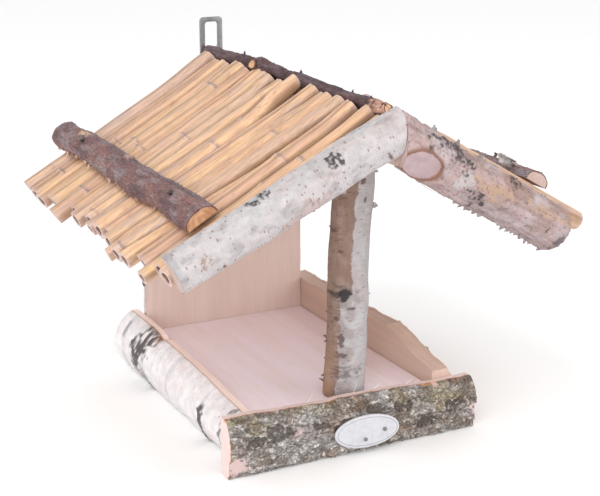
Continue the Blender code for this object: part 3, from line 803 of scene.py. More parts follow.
def edge_scraps(piece, grid, upper, places, tone, seed, size, column_in=2):
    """Torn scraps along one long edge of a half log, at shares of its length. size is in mm."""
    rng = np.random.default_rng(seed)
    rows = len(grid.points)
    bark_columns = int(grid.bark.sum())
    column = bark_columns - 1 - column_in if upper else column_in
    inner = column - 6 if upper else column + 6
    for share in places:
        row = int(np.clip(share, 0.01, 0.99) * (rows - 1))
        root = grid.points[row, column]
        outward = root - grid.points[row, inner]
        outward = outward / np.linalg.norm(outward) + rng.uniform(-0.35, 0.35, 3)
        sideways = grid.points[min(row + 3, rows - 1), column] - grid.points[max(row - 3, 0), column]
        length, width = rng.uniform(*size, 2) * MM
        curl = rng.uniform(-1.6, 1.6)
        colour = np.array(tone) * rng.uniform(0.75, 1.1)
        piece.add_flake(root, outward, sideways, length, 1.1 * width, curl, colour,
                        int(rng.integers(1 << 30)))


def left_barge():
    """White bark with two black patches, a scabby spot near the eave and a scar at the apex."""
    grid, _, _ = barge_grid("left_barge", LEFT, (1.0, 0.90), 5)
    length = grid.along.max()
    width = float(grid.width.mean())
    near_apex = patch(grid, grid.at(0.30, 0.74), (5.0, 4.6), 11, 0.9)
    near_edge = patch(grid, grid.at(0.59, 0.90), (4.4, 3.6), 12, 0.9)
    black = np.maximum(near_apex, near_edge)
    black = black * blotches(grid.grain, (1.1, 1.1, 1.1), 13, -0.35, 0.25)
    scabby = patch(grid, grid.at(0.885, 0.52), (3.6, 3.4), 14, 0.8)
    scabby = scabby * blotches(grid.grain, (1.0, 0.8, 0.8), 15, -0.3, 0.3)
    knot = patch(grid, grid.at(0.83, 0.27), (0.8, 2.2), 16, 0.7)
    scar = patch(grid, (0.085 * length + 0.35 * (grid.across - 0.3 * width), 0.30 * width),
                 (0.9, 3.0), 17, 0.5)
    pink = blotches(grid.grain, (16, 8, 8), 18, 0.0, 0.9)
    pink = np.maximum(0.75 * pink, patch(grid, grid.at(0.47, 0.30), (14, 6), 19, 0.5))
    layers = blotches(grid.grain, (5, 9, 9), 20, 0.15, 0.25)
    grid.swell(birch_relief(grid, 21) + scab(grid, 22, black) - 0.5 * scar * MM
               + (0.25 * layers * pink + 0.3 * scabby) * MM)
    tone = mixed(WHITE_BARK, PINK_BARK, 0.60 * pink)
    tone = mixed(tone, GREY_BARK, 0.48 * blotches(grid.grain, (5, 3, 3), 23, 0.15, 0.9))
    tone = mixed(tone, COOL_BARK, 0.35 * blotches(grid.grain, (17, 9, 9), 37, 0.2, 0.9))
    scratches = blotches(grid.grain, (0.8, 2.6, 2.6), 38, 0.55, 0.85, 2)
    tone = mixed(tone, SCRATCH, 0.62 * scratches * smooth(pink, 0.0, 0.5))
    tone = mixed(tone, TAN_BARK, 0.8 * scabby)
    tone = mixed(tone, BLACK_BARK, 0.92 * black)
    tone = mixed(tone, BROWN_BARK, np.maximum(0.9 * knot, 0.85 * scar))
    worn = 1 - smooth(grid.across, 0.2, 1.1 + 0.7 * noise(grid.grain, (5, 5, 5), 24))
    tone = mixed(tone, ORANGE_BARK, 0.7 * worn * grid.bark)
    end_shade = smooth(grid.row_share, 0.965, 1.0) * smooth(grid.across, 0.0, 0.6 * width)
    tone = mixed(tone, SHADED_END, 0.5 * end_shade)
    marks = np.clip(1.0 - black - scabby, 0, 1)
    piece = Piece("left_barge_log")
    piece.add_grid(grid, tone, marks=marks, rim=LEFT_RIM, rim_depth=0.35,
                   cap_tone=LEFT_END)
    edge_scraps(piece, grid, LOWER_EDGE, (0.26, 0.405, 0.42, 0.45, 0.49, 0.52, 0.55, 0.60, 0.70, 0.78,
                                     0.93), PINK_SCRAP, 31, (1.4, 3.4))
    edge_scraps(piece, grid, LOWER_EDGE, (0.80, 0.84, 0.875, 0.90), ORANGE_SCRAP, 32, (1.0, 2.0))
    edge_scraps(piece, grid, UPPER_EDGE, (0.08, 0.16, 0.33, 0.46, 0.66, 0.83), WHITE_SCRAP, 33,
                (0.8, 1.7))
    piece.build([BIRCH, END_GRAIN], ["left_barge"], "birch_bark", shade=(0.57, 0.555, 0.56))


def stamp_cut(grid, centre, normal, long_axis, size, collar):
    """Flatten an oval where a side branch was sawn off. Returns masks of its face and rim."""
    normal = np.array(Vector(normal).normalized())
    first = np.array(long_axis) - normal * np.dot(long_axis, normal)
    first /= np.linalg.norm(first)
    second = np.cross(normal, first)
    away = grid.points - centre
    height = away @ normal
    ring = np.hypot(away @ first / size[0], away @ second / size[1])
    ring = ring + 0.04 * noise(grid.grain, (4, 4, 4), 47)
    facing = smooth(grid.normals() @ normal, -0.25, 0.1) * grid.bark
    inside = (1 - smooth(ring, 0.96, 1.0)) * facing
    lip = (1 - smooth(ring, 1.0, 1.0 + collar)) * facing * (1 - inside)
    moved = -height * inside + (0.5 * MM - height) * lip * 0.75
    grid.points = grid.points + moved[..., None] * normal
    return inside, lip


def right_barge():
    """Ridged pinkish bark with black patches and the flat oval of a branch sawn off."""
    grid, direction, up = barge_grid("right_barge", RIGHT, (1.0, 0.93), 8)
    low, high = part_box("right_barge")
    log_width = 21.5 * MM
    top = np.array((low.x, 0.0, high.z)) - 0.5 * log_width * up
    rounding = np.sqrt(1 - 0.55 * smooth(grid.row_share, 0.95, 1.0) ** 2)
    centre_line = grid.points[:, grid.bark == 1].mean(1, keepdims=True)
    grid.points = centre_line + (grid.points - centre_line) * rounding[..., None]
    ridged = 0.5 * noise(grid.grain, (9, 3.2, 3.2), 40, 3)
    dark = np.maximum.reduce([
        patch(grid, grid.at(share, across), size, seed, ragged)
        for share, across, size, seed, ragged in (
            (0.20, 0.80, (9, 3.6), 41, 0.8), (0.30, 0.68, (5, 4.2), 58, 0.8),
            (0.44, 0.30, (5, 3.4), 42, 0.9), (0.63, 0.80, (5.5, 5.0), 43, 0.9),
            (0.12, 0.62, (2.5, 2.0), 59, 0.8))])
    dark = dark * blotches(grid.grain, (1.3, 1.3, 1.3), 44, -0.35, 0.3)
    peeled = blotches(grid.grain, (12, 7, 7), 45, -0.1, 0.5)
    layers = blotches(grid.grain, (6, 3, 3), 46, 0.0, 0.1)
    grid.swell((ridged + 0.35 * layers) * MM + birch_relief(grid, 48) + scab(grid, 49, dark))
    cut_centre = top + 19 * MM * direction - 4.6 * MM * up + np.array((0, low.y + 2.6 * MM, 0))
    face, rim = stamp_cut(grid, cut_centre, (-0.12, -0.84, -0.53), direction,
                          (10.5 * MM, 7.0 * MM), 0.22)
    tone = mixed(PINK_BARK, WHITE_BARK, 0.55 * blotches(grid.grain, (10, 5, 5), 50, -0.3, 0.6))
    tone = mixed(tone, TAN_BARK, 0.55 * peeled * smooth(grid.row_share, 0.25, 0.5))
    tone = mixed(tone, GREY_BARK, 0.45 * blotches(grid.grain, (3, 2, 2), 51, 0.2, 0.9))
    tone = mixed(tone, BROWN_BARK, 0.45 * smooth(-ridged, 0.10, 0.5))
    lines = blotches(grid.grain, (16, 1.1, 1.1), 60, 0.15, 0.6, 3)
    lower = smooth(0.62 - grid.across / float(grid.width.mean()), 0.0, 0.25)
    lower = lower * smooth(grid.row_share, 0.25, 0.4)
    tone = mixed(tone, DARK_LINES, 0.60 * lines * (0.35 + 0.65 * lower))
    tone = mixed(tone, DULL_PINK, 0.35 * lower)
    warm = np.maximum(patch(grid, grid.at(0.50, 0.52), (13, 3.5), 61, 0.8),
                      patch(grid, grid.at(0.84, 0.62), (11, 3.0), 62, 0.8))
    tone = mixed(tone, STRAW_BARK, 0.55 * warm)
    pale = patch(grid, grid.at(0.345, 0.45), (4.5, 6.0), 63, 0.6)
    tone = mixed(tone, PALE_BARK, 0.7 * pale)
    flecks = blotches(grid.grain, (1.1, 0.8, 0.8), 64, 0.45, 0.8, 3)
    tone = mixed(tone, FLECK, 0.55 * flecks)
    tone = mixed(tone, BLACK_BARK, 0.88 * dark)
    end_spot = patch(grid, grid.at(0.975, 0.30), (2.6, 5.5), 52, 0.6)
    tone = mixed(tone, END_SPOT, 0.8 * end_spot)
    crease = patch(grid, grid.at(0.87, 0.42), (0.7, 2.6), 53, 0.5)
    tone = mixed(tone, BROWN_BARK, 0.8 * crease)
    tone = mixed(tone, CUT_COLLAR, np.clip(rim * 1.3, 0, 1))
    tone = mixed(tone, CUT_FACE, face)
    marks = np.clip(0.8 - dark - face - rim, 0, 1)
    piece = Piece("right_barge_log")
    piece.add_grid(grid, tone, marks=marks, rim=RIGHT_RIM, rim_depth=0.5,
                   cap_tone=RIGHT_END)
    rng = np.random.default_rng(54)
    edge_scraps(piece, grid, LOWER_EDGE, np.sort(rng.uniform(0.36, 0.99, 34)), LOWER_SCRAP, 55,
                (1.0, 2.7))
    edge_scraps(piece, grid, UPPER_EDGE, np.sort(rng.uniform(0.18, 0.97, 22)), UPPER_SCRAP, 56,
                (1.0, 2.8))
    edge_scraps(piece, grid, UPPER_EDGE, (0.335, 0.36, 0.47, 0.52, 0.545), GREY_SCRAP, 57,
                (3.0, 4.6))
    edge_scraps(piece, grid, LOWER_EDGE, np.sort(rng.uniform(0.4, 0.95, 12)), BROWN_SCRAP, 58,
                (1.5, 3.2), column_in=9)
    whisker = grid.points[int(0.13 * len(grid.points)), 6]
    piece.add_flake(whisker, (0.55, -0.1, -0.8), (0, 1, 0), 9 * MM, 0.35 * MM, 0.5,
                    WHISKER, 65)
    piece.build([BIRCH, END_GRAIN], ["right_barge"], "birch_bark", shade=(0.55, 0.525, 0.54))


def batten(name, side, seed, knot_share, end_tone, end_material):
    """A split branch across the reeds, its bark dark, its sawn ends showing."""
    _, (low_out, high_out) = reach_on_roof(side, name)
    low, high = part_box(name)
    rows, bark_columns = 330, 56
    across, out, bark = half_section(bark_columns, 8, 0.8)
    share = np.linspace(0, 1, rows)[:, None]
    y = low.y + (high.y - low.y) * share
    points_cad = cad_points(name)
    front = points_cad[points_cad[:, 1] < low.y + 2 * MM]
    back = points_cad[points_cad[:, 1] > high.y - 2 * MM]
    pitch = ROOF[side]["pitch"]

    def middle(points):
        """How far down the slope the middle of these points is, and half their width."""
        drop = ROOF[side]["apex_z"] - points[:, 2]
        down = side * points[:, 0] * math.cos(pitch) + drop * math.sin(pitch)
        return 0.5 * (down.min() + down.max()), 0.5 * np.ptp(down)

    (front_down, front_half), (back_down, back_half) = middle(front), middle(back)
    half = front_half + (back_half - front_half) * share
    half = 0.98 * half * (1 + 0.025 * bumps(seed, 1.0, 0.05)(y))
    down = front_down + (back_down - front_down) * share
    down = down + bumps(seed + 1, 0.5 * MM, 0.10)(y)
    tall = (high_out - low_out) * (0.92 + 0.08 * share)
    height = low_out - 0.6 * MM + out * tall
    points = on_roof(side, down - across * half, height, y)
    pith = on_roof(side, down[0, 0], low_out, low.y)
    axes = ((0, 1, 0), roof_step(side, -1.0), roof_step(side, 0.0, 1.0))
    grid = Grid(points, bark, axes, pith)
    length, width = grid.along.max(), float(grid.width.mean())
    folds = noise(grid.grain, (11, 2.4, 2.4), seed + 2, 3)
    warts = blotches(grid.grain, (1.3, 1.3, 1.3), seed + 3, 0.25, 0.9, 2)
    knot = patch(grid, (knot_share * length, 0.72 * width), (3.4, 2.6), seed + 4, 0.3)
    bare = patch(grid, (0.83 * length, 0.66 * width), (7.5, 2.2), seed + 5, 0.8)
    grid.swell((0.30 * folds + 0.28 * warts + 1.5 * knot - 0.3 * bare) * MM)
    tone = mixed(TWIG, TWIG_GREY, 0.8 * blotches(grid.grain, (9, 4, 4), seed + 6, -0.2, 0.6))
    tone = mixed(tone, TWIG_RED, 0.50 * smooth(folds, 0.0, 0.7))
    tone = mixed(tone, TWIG_DARK, 0.6 * smooth(-folds, 0.2, 0.8))
    blue = smooth(grid.across / width, 0.62, 0.95) * 0.5
    tone = mixed(tone, TWIG_BLUE, blue)
    tone = mixed(tone, TWIG_BARE, 0.85 * bare)
    tone = mixed(tone, TWIG_KNOT, 0.6 * smooth(knot, 0.75, 1.0))
    piece = Piece(f"{name}_branch")
    piece.add_grid(grid, tone, marks=1 - bare, rim=TWIG_RIM, rim_depth=0.7,
                   cap_tone=end_tone)
    rng = np.random.default_rng(seed + 7)
    edge_scraps(piece, grid, LOWER_EDGE, np.sort(rng.uniform(0.02, 0.98, 34)), TWIG_SCRAP,
                seed + 8, (0.9, 2.1))
    edge_scraps(piece, grid, LOWER_EDGE, np.sort(rng.uniform(0.04, 0.96, 12)), TWIG_PALE_SCRAP,
                seed + 9, (1.0, 2.4))
    edge_scraps(piece, grid, UPPER_EDGE, np.sort(rng.uniform(0.05, 0.95, 10)), TWIG_DARK_SCRAP,
                seed + 10, (0.8, 1.6))
    if side == RIGHT:
        root = grid.points[int(0.07 * rows), int(0.72 * bark_columns)]
        downhill = roof_step(side, 1.0)
        piece.add_flake(root, (-0.6, 0.1, 1.0), downhill, 5.5 * MM, 7 * MM, 0.9,
                        CURL_ROOT, seed + 11, thick=0.5)
        piece.add_flake(root + (-5 * MM, 1 * MM, 5.5 * MM), (0.15, 0.5, 0.6), downhill, 7.5 * MM,
                        11 * MM, 4.6, CURL, seed + 12, thick=0.4)
    piece.build([TWIG_BARK, end_material], [name], "dark_bark")


# --- Round branches: the post and the ridge -------------------------------------------------
def ridge_branch():
    """A thin dark branch along the apex, with one sawn side branch and peeled splintered wood
    at its front end."""
    low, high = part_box("ridge_branch")
    knot_share = 0.655
    rows, columns = 380, 56
    turns = -math.pi / 2 + circle_turns(columns)
    share = np.linspace(0, 1, rows)[:, None]                  # from the front to the back
    y = low.y + (high.y - low.y) * share
    rise = np.interp(share, (0, 0.15, 0.3, 0.45, 0.58, 0.70, 0.85, 1.0),
                     (0.2, -0.3, -0.2, 0.3, 1.5, 2.2, 1.0, 0.0)) * MM
    rise = np.convolve(rise[:, 0], np.ones(41) / 41, "same")[:, None]
    drift = bumps(61, 0.6 * MM, 0.13)(y)
    radius = (2.8 + 0.8 * share + 0.22 * bumps(62, 1.0, 0.035)(y)) * MM
    knot_y = low.y + knot_share * (high.y - low.y)
    radius = radius + 1.0 * MM * np.exp(-((y - knot_y) / (5 * MM)) ** 2)
    middle_z = 0.5 * (low.z + high.z) + 0.9 * MM + 0.75 * rise
    front = (1 - smooth(share, 0.0, 0.10)) * np.sin(turns) * 2.6 * MM
    x = drift + radius * np.cos(turns)
    z = middle_z + radius * np.sin(turns)
    points = np.stack(np.broadcast_arrays(x, y + front, z), axis=-1)
    pith = np.array((0, low.y, 0.5 * (low.z + high.z)))
    grid = Grid(points, np.ones(columns), ((0, 1, 0), (1, 0, 0), (0, 0, 1)), pith)
    folds = noise(grid.grain, (14, 2.2, 2.2), 63, 3)
    warts = blotches(grid.grain, (1.6, 1.2, 1.2), 64, 0.35, 0.9, 2)
    grid.swell((0.28 * folds + 0.3 * warts) * MM)
    tone = mixed(RIDGE_DARK, RIDGE_GREY,
                 blotches(grid.grain, (12, 4, 4), 65, -0.3, 0.6))
    tone = mixed(tone, RIDGE_RED, 0.5 * smooth(folds, 0.1, 0.8))
    tone = mixed(tone, RIDGE_FOLD, 0.5 * smooth(-folds, 0.2, 0.8))
    # painted shade: the lower side of the branch darkened
    shade = smooth(-grid.grain[..., 2], 1.5, 4.0)
    tone = mixed(tone, RIDGE_UNDER_SHADE, 0.6 * shade)
    peeled = 1 - smooth(share + 0.02 * noise(grid.grain, (2, 2, 2), 68), 0.035, 0.065)
    tone = mixed(tone, RIDGE_PEELED, 0.9 * peeled)
    piece = Piece("ridge_branch_twig")
    piece.add_grid(grid, tone, marks=0.45, rim=RIDGE_RIM, rim_depth=0.6,
                   cap_tone=RIDGE_END)
    sawn_knot(piece, (-3.4 * MM, knot_y, middle_z[int(knot_share * rows), 0] + 0.4 * MM),
              (-0.80, -0.25, 0.35), 2.5 * MM, 2.6 * MM)
    rng = np.random.default_rng(66)
    for _ in range(26):
        row = int(rng.uniform(0.02, 0.98) * rows)
        column = int(columns * rng.choice((0.26, 0.5, 0.74)) + rng.integers(-4, 5)) % columns
        root = grid.points[row, column]
        outward = root - grid.points[row].mean(0) + rng.uniform(-1.5, 1.5, 3) * MM
        piece.add_flake(root, outward, (0, 1, 0), rng.uniform(0.7, 1.9) * MM,
                        rng.uniform(1.0, 3.2) * MM, rng.uniform(-1.4, 1.4), RIDGE_SCRAP,
                        int(rng.integers(1 << 30)))
    for index, turn in enumerate((0.3, 1.0, 1.7, 2.5)):
        root = grid.points[2, int(columns * (turn + math.pi / 2) / math.tau) % columns]
        piece.add_flake(root, (0.25 * math.cos(turn), -1, 0.1), (-math.sin(turn), 0, math.cos(turn)),
                        2.6 * MM, 2.8 * MM, 1.6, SPLINTER, 670 + index)
    piece.build([TWIG_BARK, ORANGE_END], ["ridge_branch"], "dark_bark", shade=(0.58, 0.50, 0.52))


def sawn_knot(piece, centre, normal, radius, reach):
    """The stub of a side branch, sawn off: a short drum with a bark collar and a pale face."""
    normal = np.array(Vector(normal).normalized())
    side = np.array(Vector(normal).orthogonal().normalized())
    other = np.cross(normal, side)
    turns = circle_turns(22)
    rings = []
    profile = ((1.7, -0.9), (1.25, 0.1), (1.12, 0.75), (1.05, 1.0), (0.80, 1.04), (0.74, 0.98))
    for wide, far in profile:
        uneven = 1 + 0.07 * np.sin(3 * turns + far) + 0.04 * np.sin(7 * turns)
        ring = (centre + normal * reach * far
                + radius * wide * uneven[:, None] * (np.cos(turns)[:, None] * side
                                                     + np.sin(turns)[:, None] * other))
        rings.append(ring)
    points = np.array(rings)
    bark_tone = np.array(KNOT_BARK)
    tone = np.broadcast_to(bark_tone, points.shape).copy()
    tone[4] = KNOT_RIM
    tone[5] = KNOT_WOOD
    rows, columns = points.shape[:2]
    slots = [0] * ((rows - 2) * columns) + [1] * columns + [0, 1] * columns
    flat = with_ends(points)
    grains = (flat - centre) @ np.array((normal, side, other)).T / MM
    piece.add(flat, closed_faces(rows, columns), with_alpha(with_ends(tone), 0.0), grains, slots)


def front_post():
    """A whole birch branch: white bark on its right, peeled to tan on its left, with one eye."""
    low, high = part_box("front_post")
    cad = cad_points("front_post")
    foot = cad[cad[:, 2] < low.z + 1 * MM]
    foot_middle = 0.5 * (foot.min(0) + foot.max(0))
    head = cad[cad[:, 2] > high.z - 25 * MM]
    head_middle = 0.5 * (head.min(0) + head.max(0))
    rows, columns = 290, 132
    turns = math.pi / 2 + circle_turns(columns)               # the seam is at the back
    share = np.linspace(0, 1, rows)[:, None]
    middle_x = foot_middle[0] + (head_middle[0] - foot_middle[0]) * share
    middle_x = middle_x + 0.4 * MM * np.sin(share * math.tau * 1.3)
    radius = (9.9 - 0.6 * share + 0.18 * bumps(71, 1.0, 0.4)(share)) * MM
    x = middle_x + radius * np.cos(turns)
    y = foot_middle[1] + radius * np.sin(turns)
    top = roof_underside(x)
    z = low.z + (top - low.z) * share
    points = np.stack(np.broadcast_arrays(x, y, z), axis=-1)
    pith = np.array((foot_middle[0], foot_middle[1], low.z))
    grid = Grid(points, np.ones(columns), ((0, 0, 1), (1, 0, 0), (0, 1, 0)), pith)
    tall = grid.along.max()
    # seen from the front left, sideways runs from -1 to 1 across the post, and facing is 1 at
    # its middle
    right = np.array((0.887, -0.463))
    front = np.array((-0.463, -0.887))
    flat = np.stack([np.cos(turns), np.sin(turns)], axis=-1)
    sideways = np.broadcast_to(flat @ right, grid.along.shape)
    facing = np.broadcast_to(flat @ front, grid.along.shape)
    height = grid.along / tall
    knot_up = 0.395
    wander = 0.10 * noise(grid.grain, (7, 5, 5), 72) + 0.05 * noise(grid.grain, (1.5, 1.5, 1.5), 73)
    boundary = np.where(height > knot_up, 0.12, -0.42) + wander
    tan = (1 - smooth(sideways, boundary, boundary + 0.05)) * smooth(facing, -0.75, -0.45)
    eye = spot(grid, height, sideways, facing, (knot_up, -0.15), (0.026, 0.30), 74)
    brow = spot(grid, height, sideways, facing, (knot_up - 0.004, -0.62), (0.012, 0.45), 75)
    halo = spot(grid, height, sideways, facing, (knot_up - 0.01, -0.05), (0.045, 0.62), 76)
    band = spot(grid, height, sideways, facing, (0.105, 0.10), (0.032, 0.72), 77)
    blots = np.zeros_like(height)
    for index, (up, right_at, tall_part, wide) in enumerate((
            (0.80, 0.42, 0.012, 0.18), (0.735, 0.62, 0.014, 0.06), (0.55, -0.45, 0.008, 0.14),
            (0.225, -0.30, 0.030, 0.16), (0.30, -0.55, 0.010, 0.14), (0.945, -0.15, 0.006, 0.14),
            (0.345, 0.15, 0.006, 0.3), (0.62, -0.85, 0.01, 0.2), (0.17, -0.2, 0.01, 0.3))):
        mark = spot(grid, height, sideways, facing, (up, right_at), (tall_part, wide), 80 + index)
        blots = np.maximum(blots, mark)
    rings = blotches(grid.grain, (0.55, 4.5, 4.5), 90, 0.25, 0.6, 2)
    rings = rings * blotches(grid.grain, (12, 6, 6), 91, -0.5, 0.3)
    grid.swell(birch_relief(grid, 92, 0.8) + (0.16 * (1 - tan) + 0.5 * eye + 0.25 * halo
               + 0.28 * band - 0.10 * rings * tan) * MM)
    white = mixed(POST_WHITE, PINK_BARK,
                  0.35 * blotches(grid.grain, (9, 6, 6), 93, -0.1, 0.8))
    peeled = mixed(POST_TAN, POST_ORANGE, smooth(0.30 - height, 0.0, 0.25)
                   * smooth(-sideways, 0.45, 0.8))
    peeled = mixed(peeled, POST_PALE_TAN, 0.5 * blotches(grid.grain, (6, 4, 4), 94, 0.0, 0.8))
    low_grey = smooth(0.42 - height, 0.0, 0.06) * smooth(0.55 - np.abs(sideways + 0.05), 0.0, 0.3)
    white = mixed(white, POST_GREY, 0.62 * low_grey
                  * blotches(grid.grain, (3, 4, 4), 95, -0.6, 0.5))
    tone = mixed(white, peeled, tan)
    tone = mixed(tone, POST_RING, 0.62 * rings * np.maximum(tan, 0.25))
    tone = mixed(tone, POST_HALO, 0.6 * halo)
    tone = mixed(tone, POST_BAND, 0.62 * band
                 * blotches(grid.grain, (1.0, 2.5, 2.5), 96, -0.4, 0.4))
    tone = mixed(tone, POST_BLOT, 0.85 * blots)
    tone = mixed(tone, BLACK_BARK, np.maximum(0.97 * eye, 0.75 * brow))
    tone = mixed(tone, POST_TOP, 0.7 * smooth(height, 0.975, 1.0))
    piece = Piece("front_post_branch")
    piece.add_grid(grid, tone, marks=np.clip(0.85 - eye - blots, 0, 1), rim_depth=0.4)
    for index, (up, angle_right, length, width) in enumerate((
            (0.905, 1.0, 2.6, 2.8), (0.885, 1.0, 1.8, 1.6), (0.745, 1.0, 2.8, 2.4),
            (0.76, 0.99, 1.6, 1.2), (0.215, -1.0, 1.8, 1.8), (0.205, -0.98, 1.4, 1.3),
            (0.055, -0.99, 2.4, 1.6), (0.07, -1.0, 1.4, 1.2), (0.31, -1.0, 0.9, 0.9),
            (0.135, -1.0, 0.8, 0.8), (0.62, -1.0, 0.7, 0.9), (0.40, 1.0, 0.9, 1.0))):
        across = angle_right * right + math.sqrt(max(0, 1 - angle_right ** 2)) * front
        column = int(np.argmax(flat @ across))
        root = grid.points[int(up * rows), column]
        outward = Vector((across[0], across[1], 0.25 - 0.5 * (index % 2)))
        dark = angle_right < 0
        piece.add_flake(root, outward, (0, 0, 1), length * MM, width * MM, 0.7 - 1.2 * (index % 2),
                        POST_DARK_SCRAP if dark else POST_PALE_SCRAP, 400 + index)
    piece.build([BIRCH, END_GRAIN], ["front_post"], "birch_bark", shade=(0.54, 0.545, 0.55))


def spot(grid, height, sideways, facing, at, size, seed):
    """A ragged spot on the post at (height share, sideways share) as seen from the front."""
    away = np.hypot((height - at[0]) / size[0], (sideways - at[1]) / size[1])
    away = away + 0.4 * noise(grid.grain, (1.2, 1.8, 1.8), seed)
    return (1 - smooth(away, 0.7, 1.05)) * smooth(facing, -0.3, 0.0)


# --- Slabs: the tray and the back board -----------------------------------------------------
def slab_grid(places, top_of, place, axes, pith, profile, columns):
    """Rings of a waney slab, from its sawn inner face over the top edge and down its bark."""
    bottom_depth, belly, top_depth, fullness = profile
    inner, edge, bark, under = columns
    rings = []
    for spot_at in places:
        top = float(top_of(spot_at))
        ups = [top * i / inner for i in range(inner)]
        outs = [0.0] * inner
        ups += [top] * edge
        outs += [top_depth * i / edge for i in range(edge)]
        for i in range(bark):
            part = 1 - i / (bark - 1)
            base = bottom_depth + (top_depth - bottom_depth) * part
            outs.append(base + (belly - base) * math.sin(math.pi * part) ** fullness)
            ups.append(top * part)
        ups += [0.0] * under
        outs += [bottom_depth * (1 - (i + 1) / (under + 1)) for i in range(under)]
        rings.append([place(spot_at, up, out) for up, out in zip(ups, outs)])
    kinds = [0.0] * (inner + edge) + [1.0] * bark + [0.0] * under
    return Grid(np.array(rings), kinds, axes, pith)


def side_slab(name, side, profile, seed, paint, cap_tone, wood, notch, top_wave=0.25):
    """A side of the tray. profile is the bark's depth at the foot, in the middle and at the top,
    and its fullness. notch is a dip or a bump in the top edge: share of length, height and reach in mm."""
    low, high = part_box(name)
    inner_x = high.x if side == LEFT else low.x
    top_of = crest(name, 1)
    wave = bumps(seed, top_wave * MM, 0.045)

    def top(y):
        """Height of the slab's top edge."""
        at = low.y + notch[0] * (high.y - low.y)
        dip = notch[1] * MM * math.exp(-((y - at) / (notch[2] * MM)) ** 2)
        return top_of(y) + wave(y) + dip

    def place(y, up, out):
        """A point at this height and this far out from the slab's sawn inner face."""
        return (inner_x + side * out, y, low.z + up)

    places = np.linspace(low.y, high.y, 300)
    pith = (inner_x - side * 45 * MM, low.y, 14 * MM)
    grid = slab_grid(places, top, place, ((0, 1, 0), (side, 0, 0), (0, 0, 1)), pith, profile,
                     (10, 8, 76, 4))
    relief, tone, marks = paint(grid)
    grid.swell(relief, margin=0.9)
    if side == RIGHT:
        lip = grid.bark * (1 - smooth(grid.across, 0.4, 2.0))
        lip = lip * (0.7 + 0.3 * noise(grid.grain, (2.5, 2.5, 2.5), seed + 9))
        grid.points[..., 2] += 0.9 * MM * lip
    grid.points[..., 2] = np.maximum(grid.points[..., 2], low.z)
    piece = Piece(f"{name}_board")
    piece.add_grid(grid, tone, marks=marks, rim=SLAB_RIM, rim_depth=0.5,
                   cap_tone=cap_tone)
    piece.build([BIRCH, wood], [name], "birch_bark", shade=(0.93, 0.93, 0.94))


def paint_left_slab(grid):
    """White bark: faint bands round the trunk, a dark patch by the knot, marks near the front."""
    low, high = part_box("left_side_slab")
    u = grid.along / ((high.y - low.y) / MM)
    v = 1 - grid.across / grid.width                           # 1 at the top edge, 0 at the foot
    lean = u + 0.05 * (v - 0.5)
    rough_edge = noise(grid.grain, (3, 3, 3), 101)
    dark = 1 - smooth(np.abs(lean - 0.775) / 0.060 + 0.55 * rough_edge, 0.6, 1.1)
    dark = dark * smooth(v + 0.25 * rough_edge, 0.05, 0.35)
    dark = dark * blotches(grid.grain, (2.2, 5, 5), 102, -0.7, 0.0)
    second = 1 - smooth(np.abs(lean - 0.715) / 0.028 + 0.6 * rough_edge, 0.5, 1.1)
    second = 0.7 * second * smooth(0.55 - v, 0.0, 0.3)
    front = 1 - smooth(np.abs(u - 0.235) / 0.018 + 0.6 * rough_edge, 0.5, 1.1)
    front = front * smooth(0.72 - v, 0.0, 0.1)
    edge = 1 - smooth(np.abs(u - 0.055) / 0.045 + 0.7 * rough_edge, 0.5, 1.1)
    edge = 0.8 * edge * blotches(grid.grain, (1.2, 6, 6), 103, -0.2, 0.4)
    back_streak = 1 - smooth(np.abs(u - 0.93) / 0.012 + 0.5 * rough_edge, 0.5, 1.1)
    back_streak = back_streak * smooth(v, 0.55, 0.65) * smooth(0.92 - v, 0.0, 0.1) * 0.6
    black = np.clip(np.maximum.reduce([dark, second, front, edge, back_streak]), 0, 1)
    bands = blotches(grid.grain, (3.2, 40, 40), 104, 0.05, 0.8)
    streak = blotches(grid.grain, (1.1, 20, 20), 105, 0.35, 0.9)
    tone = mixed(SLAB_WHITE, PINK_BARK, 0.25 * blotches(grid.grain, (8, 6, 6), 106, 0, 1))
    tone = mixed(tone, SLAB_BAND, 0.40 * bands + 0.25 * streak)
    tone = mixed(tone, SLAB_BLACK, 0.95 * black)
    orange = 1 - smooth(grid.across, 0.35, 0.95 + 0.3 * noise(grid.grain, (4, 4, 4), 107))
    tone = mixed(tone, SLAB_ORANGE, 0.9 * orange)
    at_knot = np.exp(-((u - 0.70) / 0.022) ** 2) * smooth(v, 0.80, 0.98)
    tone = mixed(tone, SLAB_KNOT, 0.8 * at_knot)
    relief = birch_relief(grid, 108, 0.9) + scab(grid, 109, black) * 0.8
    relief = relief + 1.3 * MM * np.exp(-((u - 0.77) / 0.07) ** 2) * smooth(v, 0.1, 0.5)
    return relief, tone, np.clip(0.22 - black, 0, 1)


def paint_right_slab(grid):
    """Greyer, rougher bark with brown torn edges, seen mostly as the rim above the boards."""
    v = 1 - grid.across / grid.width
    rough_edge = noise(grid.grain, (4, 4, 4), 121)
    patches = blotches(grid.grain, (9, 7, 7), 122, -0.1, 0.5)
    black = blotches(grid.grain, (6, 9, 9), 123, 0.35, 0.7)
    tone = mixed(OLD_GREY, OLD_BROWN, 0.7 * patches)
    tone = mixed(tone, OLD_BLACK, 0.8 * black)
    brown = 1 - smooth(grid.across, 0.6, 2.0 + rough_edge)
    tone = mixed(tone, TORN_BROWN, 0.9 * brown)
    low_edge = 1 - smooth(v, 0.02, 0.10)
    tone = mixed(tone, FOOT_BROWN, 0.5 * low_edge)
    relief = birch_relief(grid, 124, 1.3) + scab(grid, 125, black)
    relief = relief + 0.35 * MM * noise(grid.grain, (5, 3, 3), 126, 3)
    return relief, tone, np.clip(0.7 - black - brown, 0, 1)


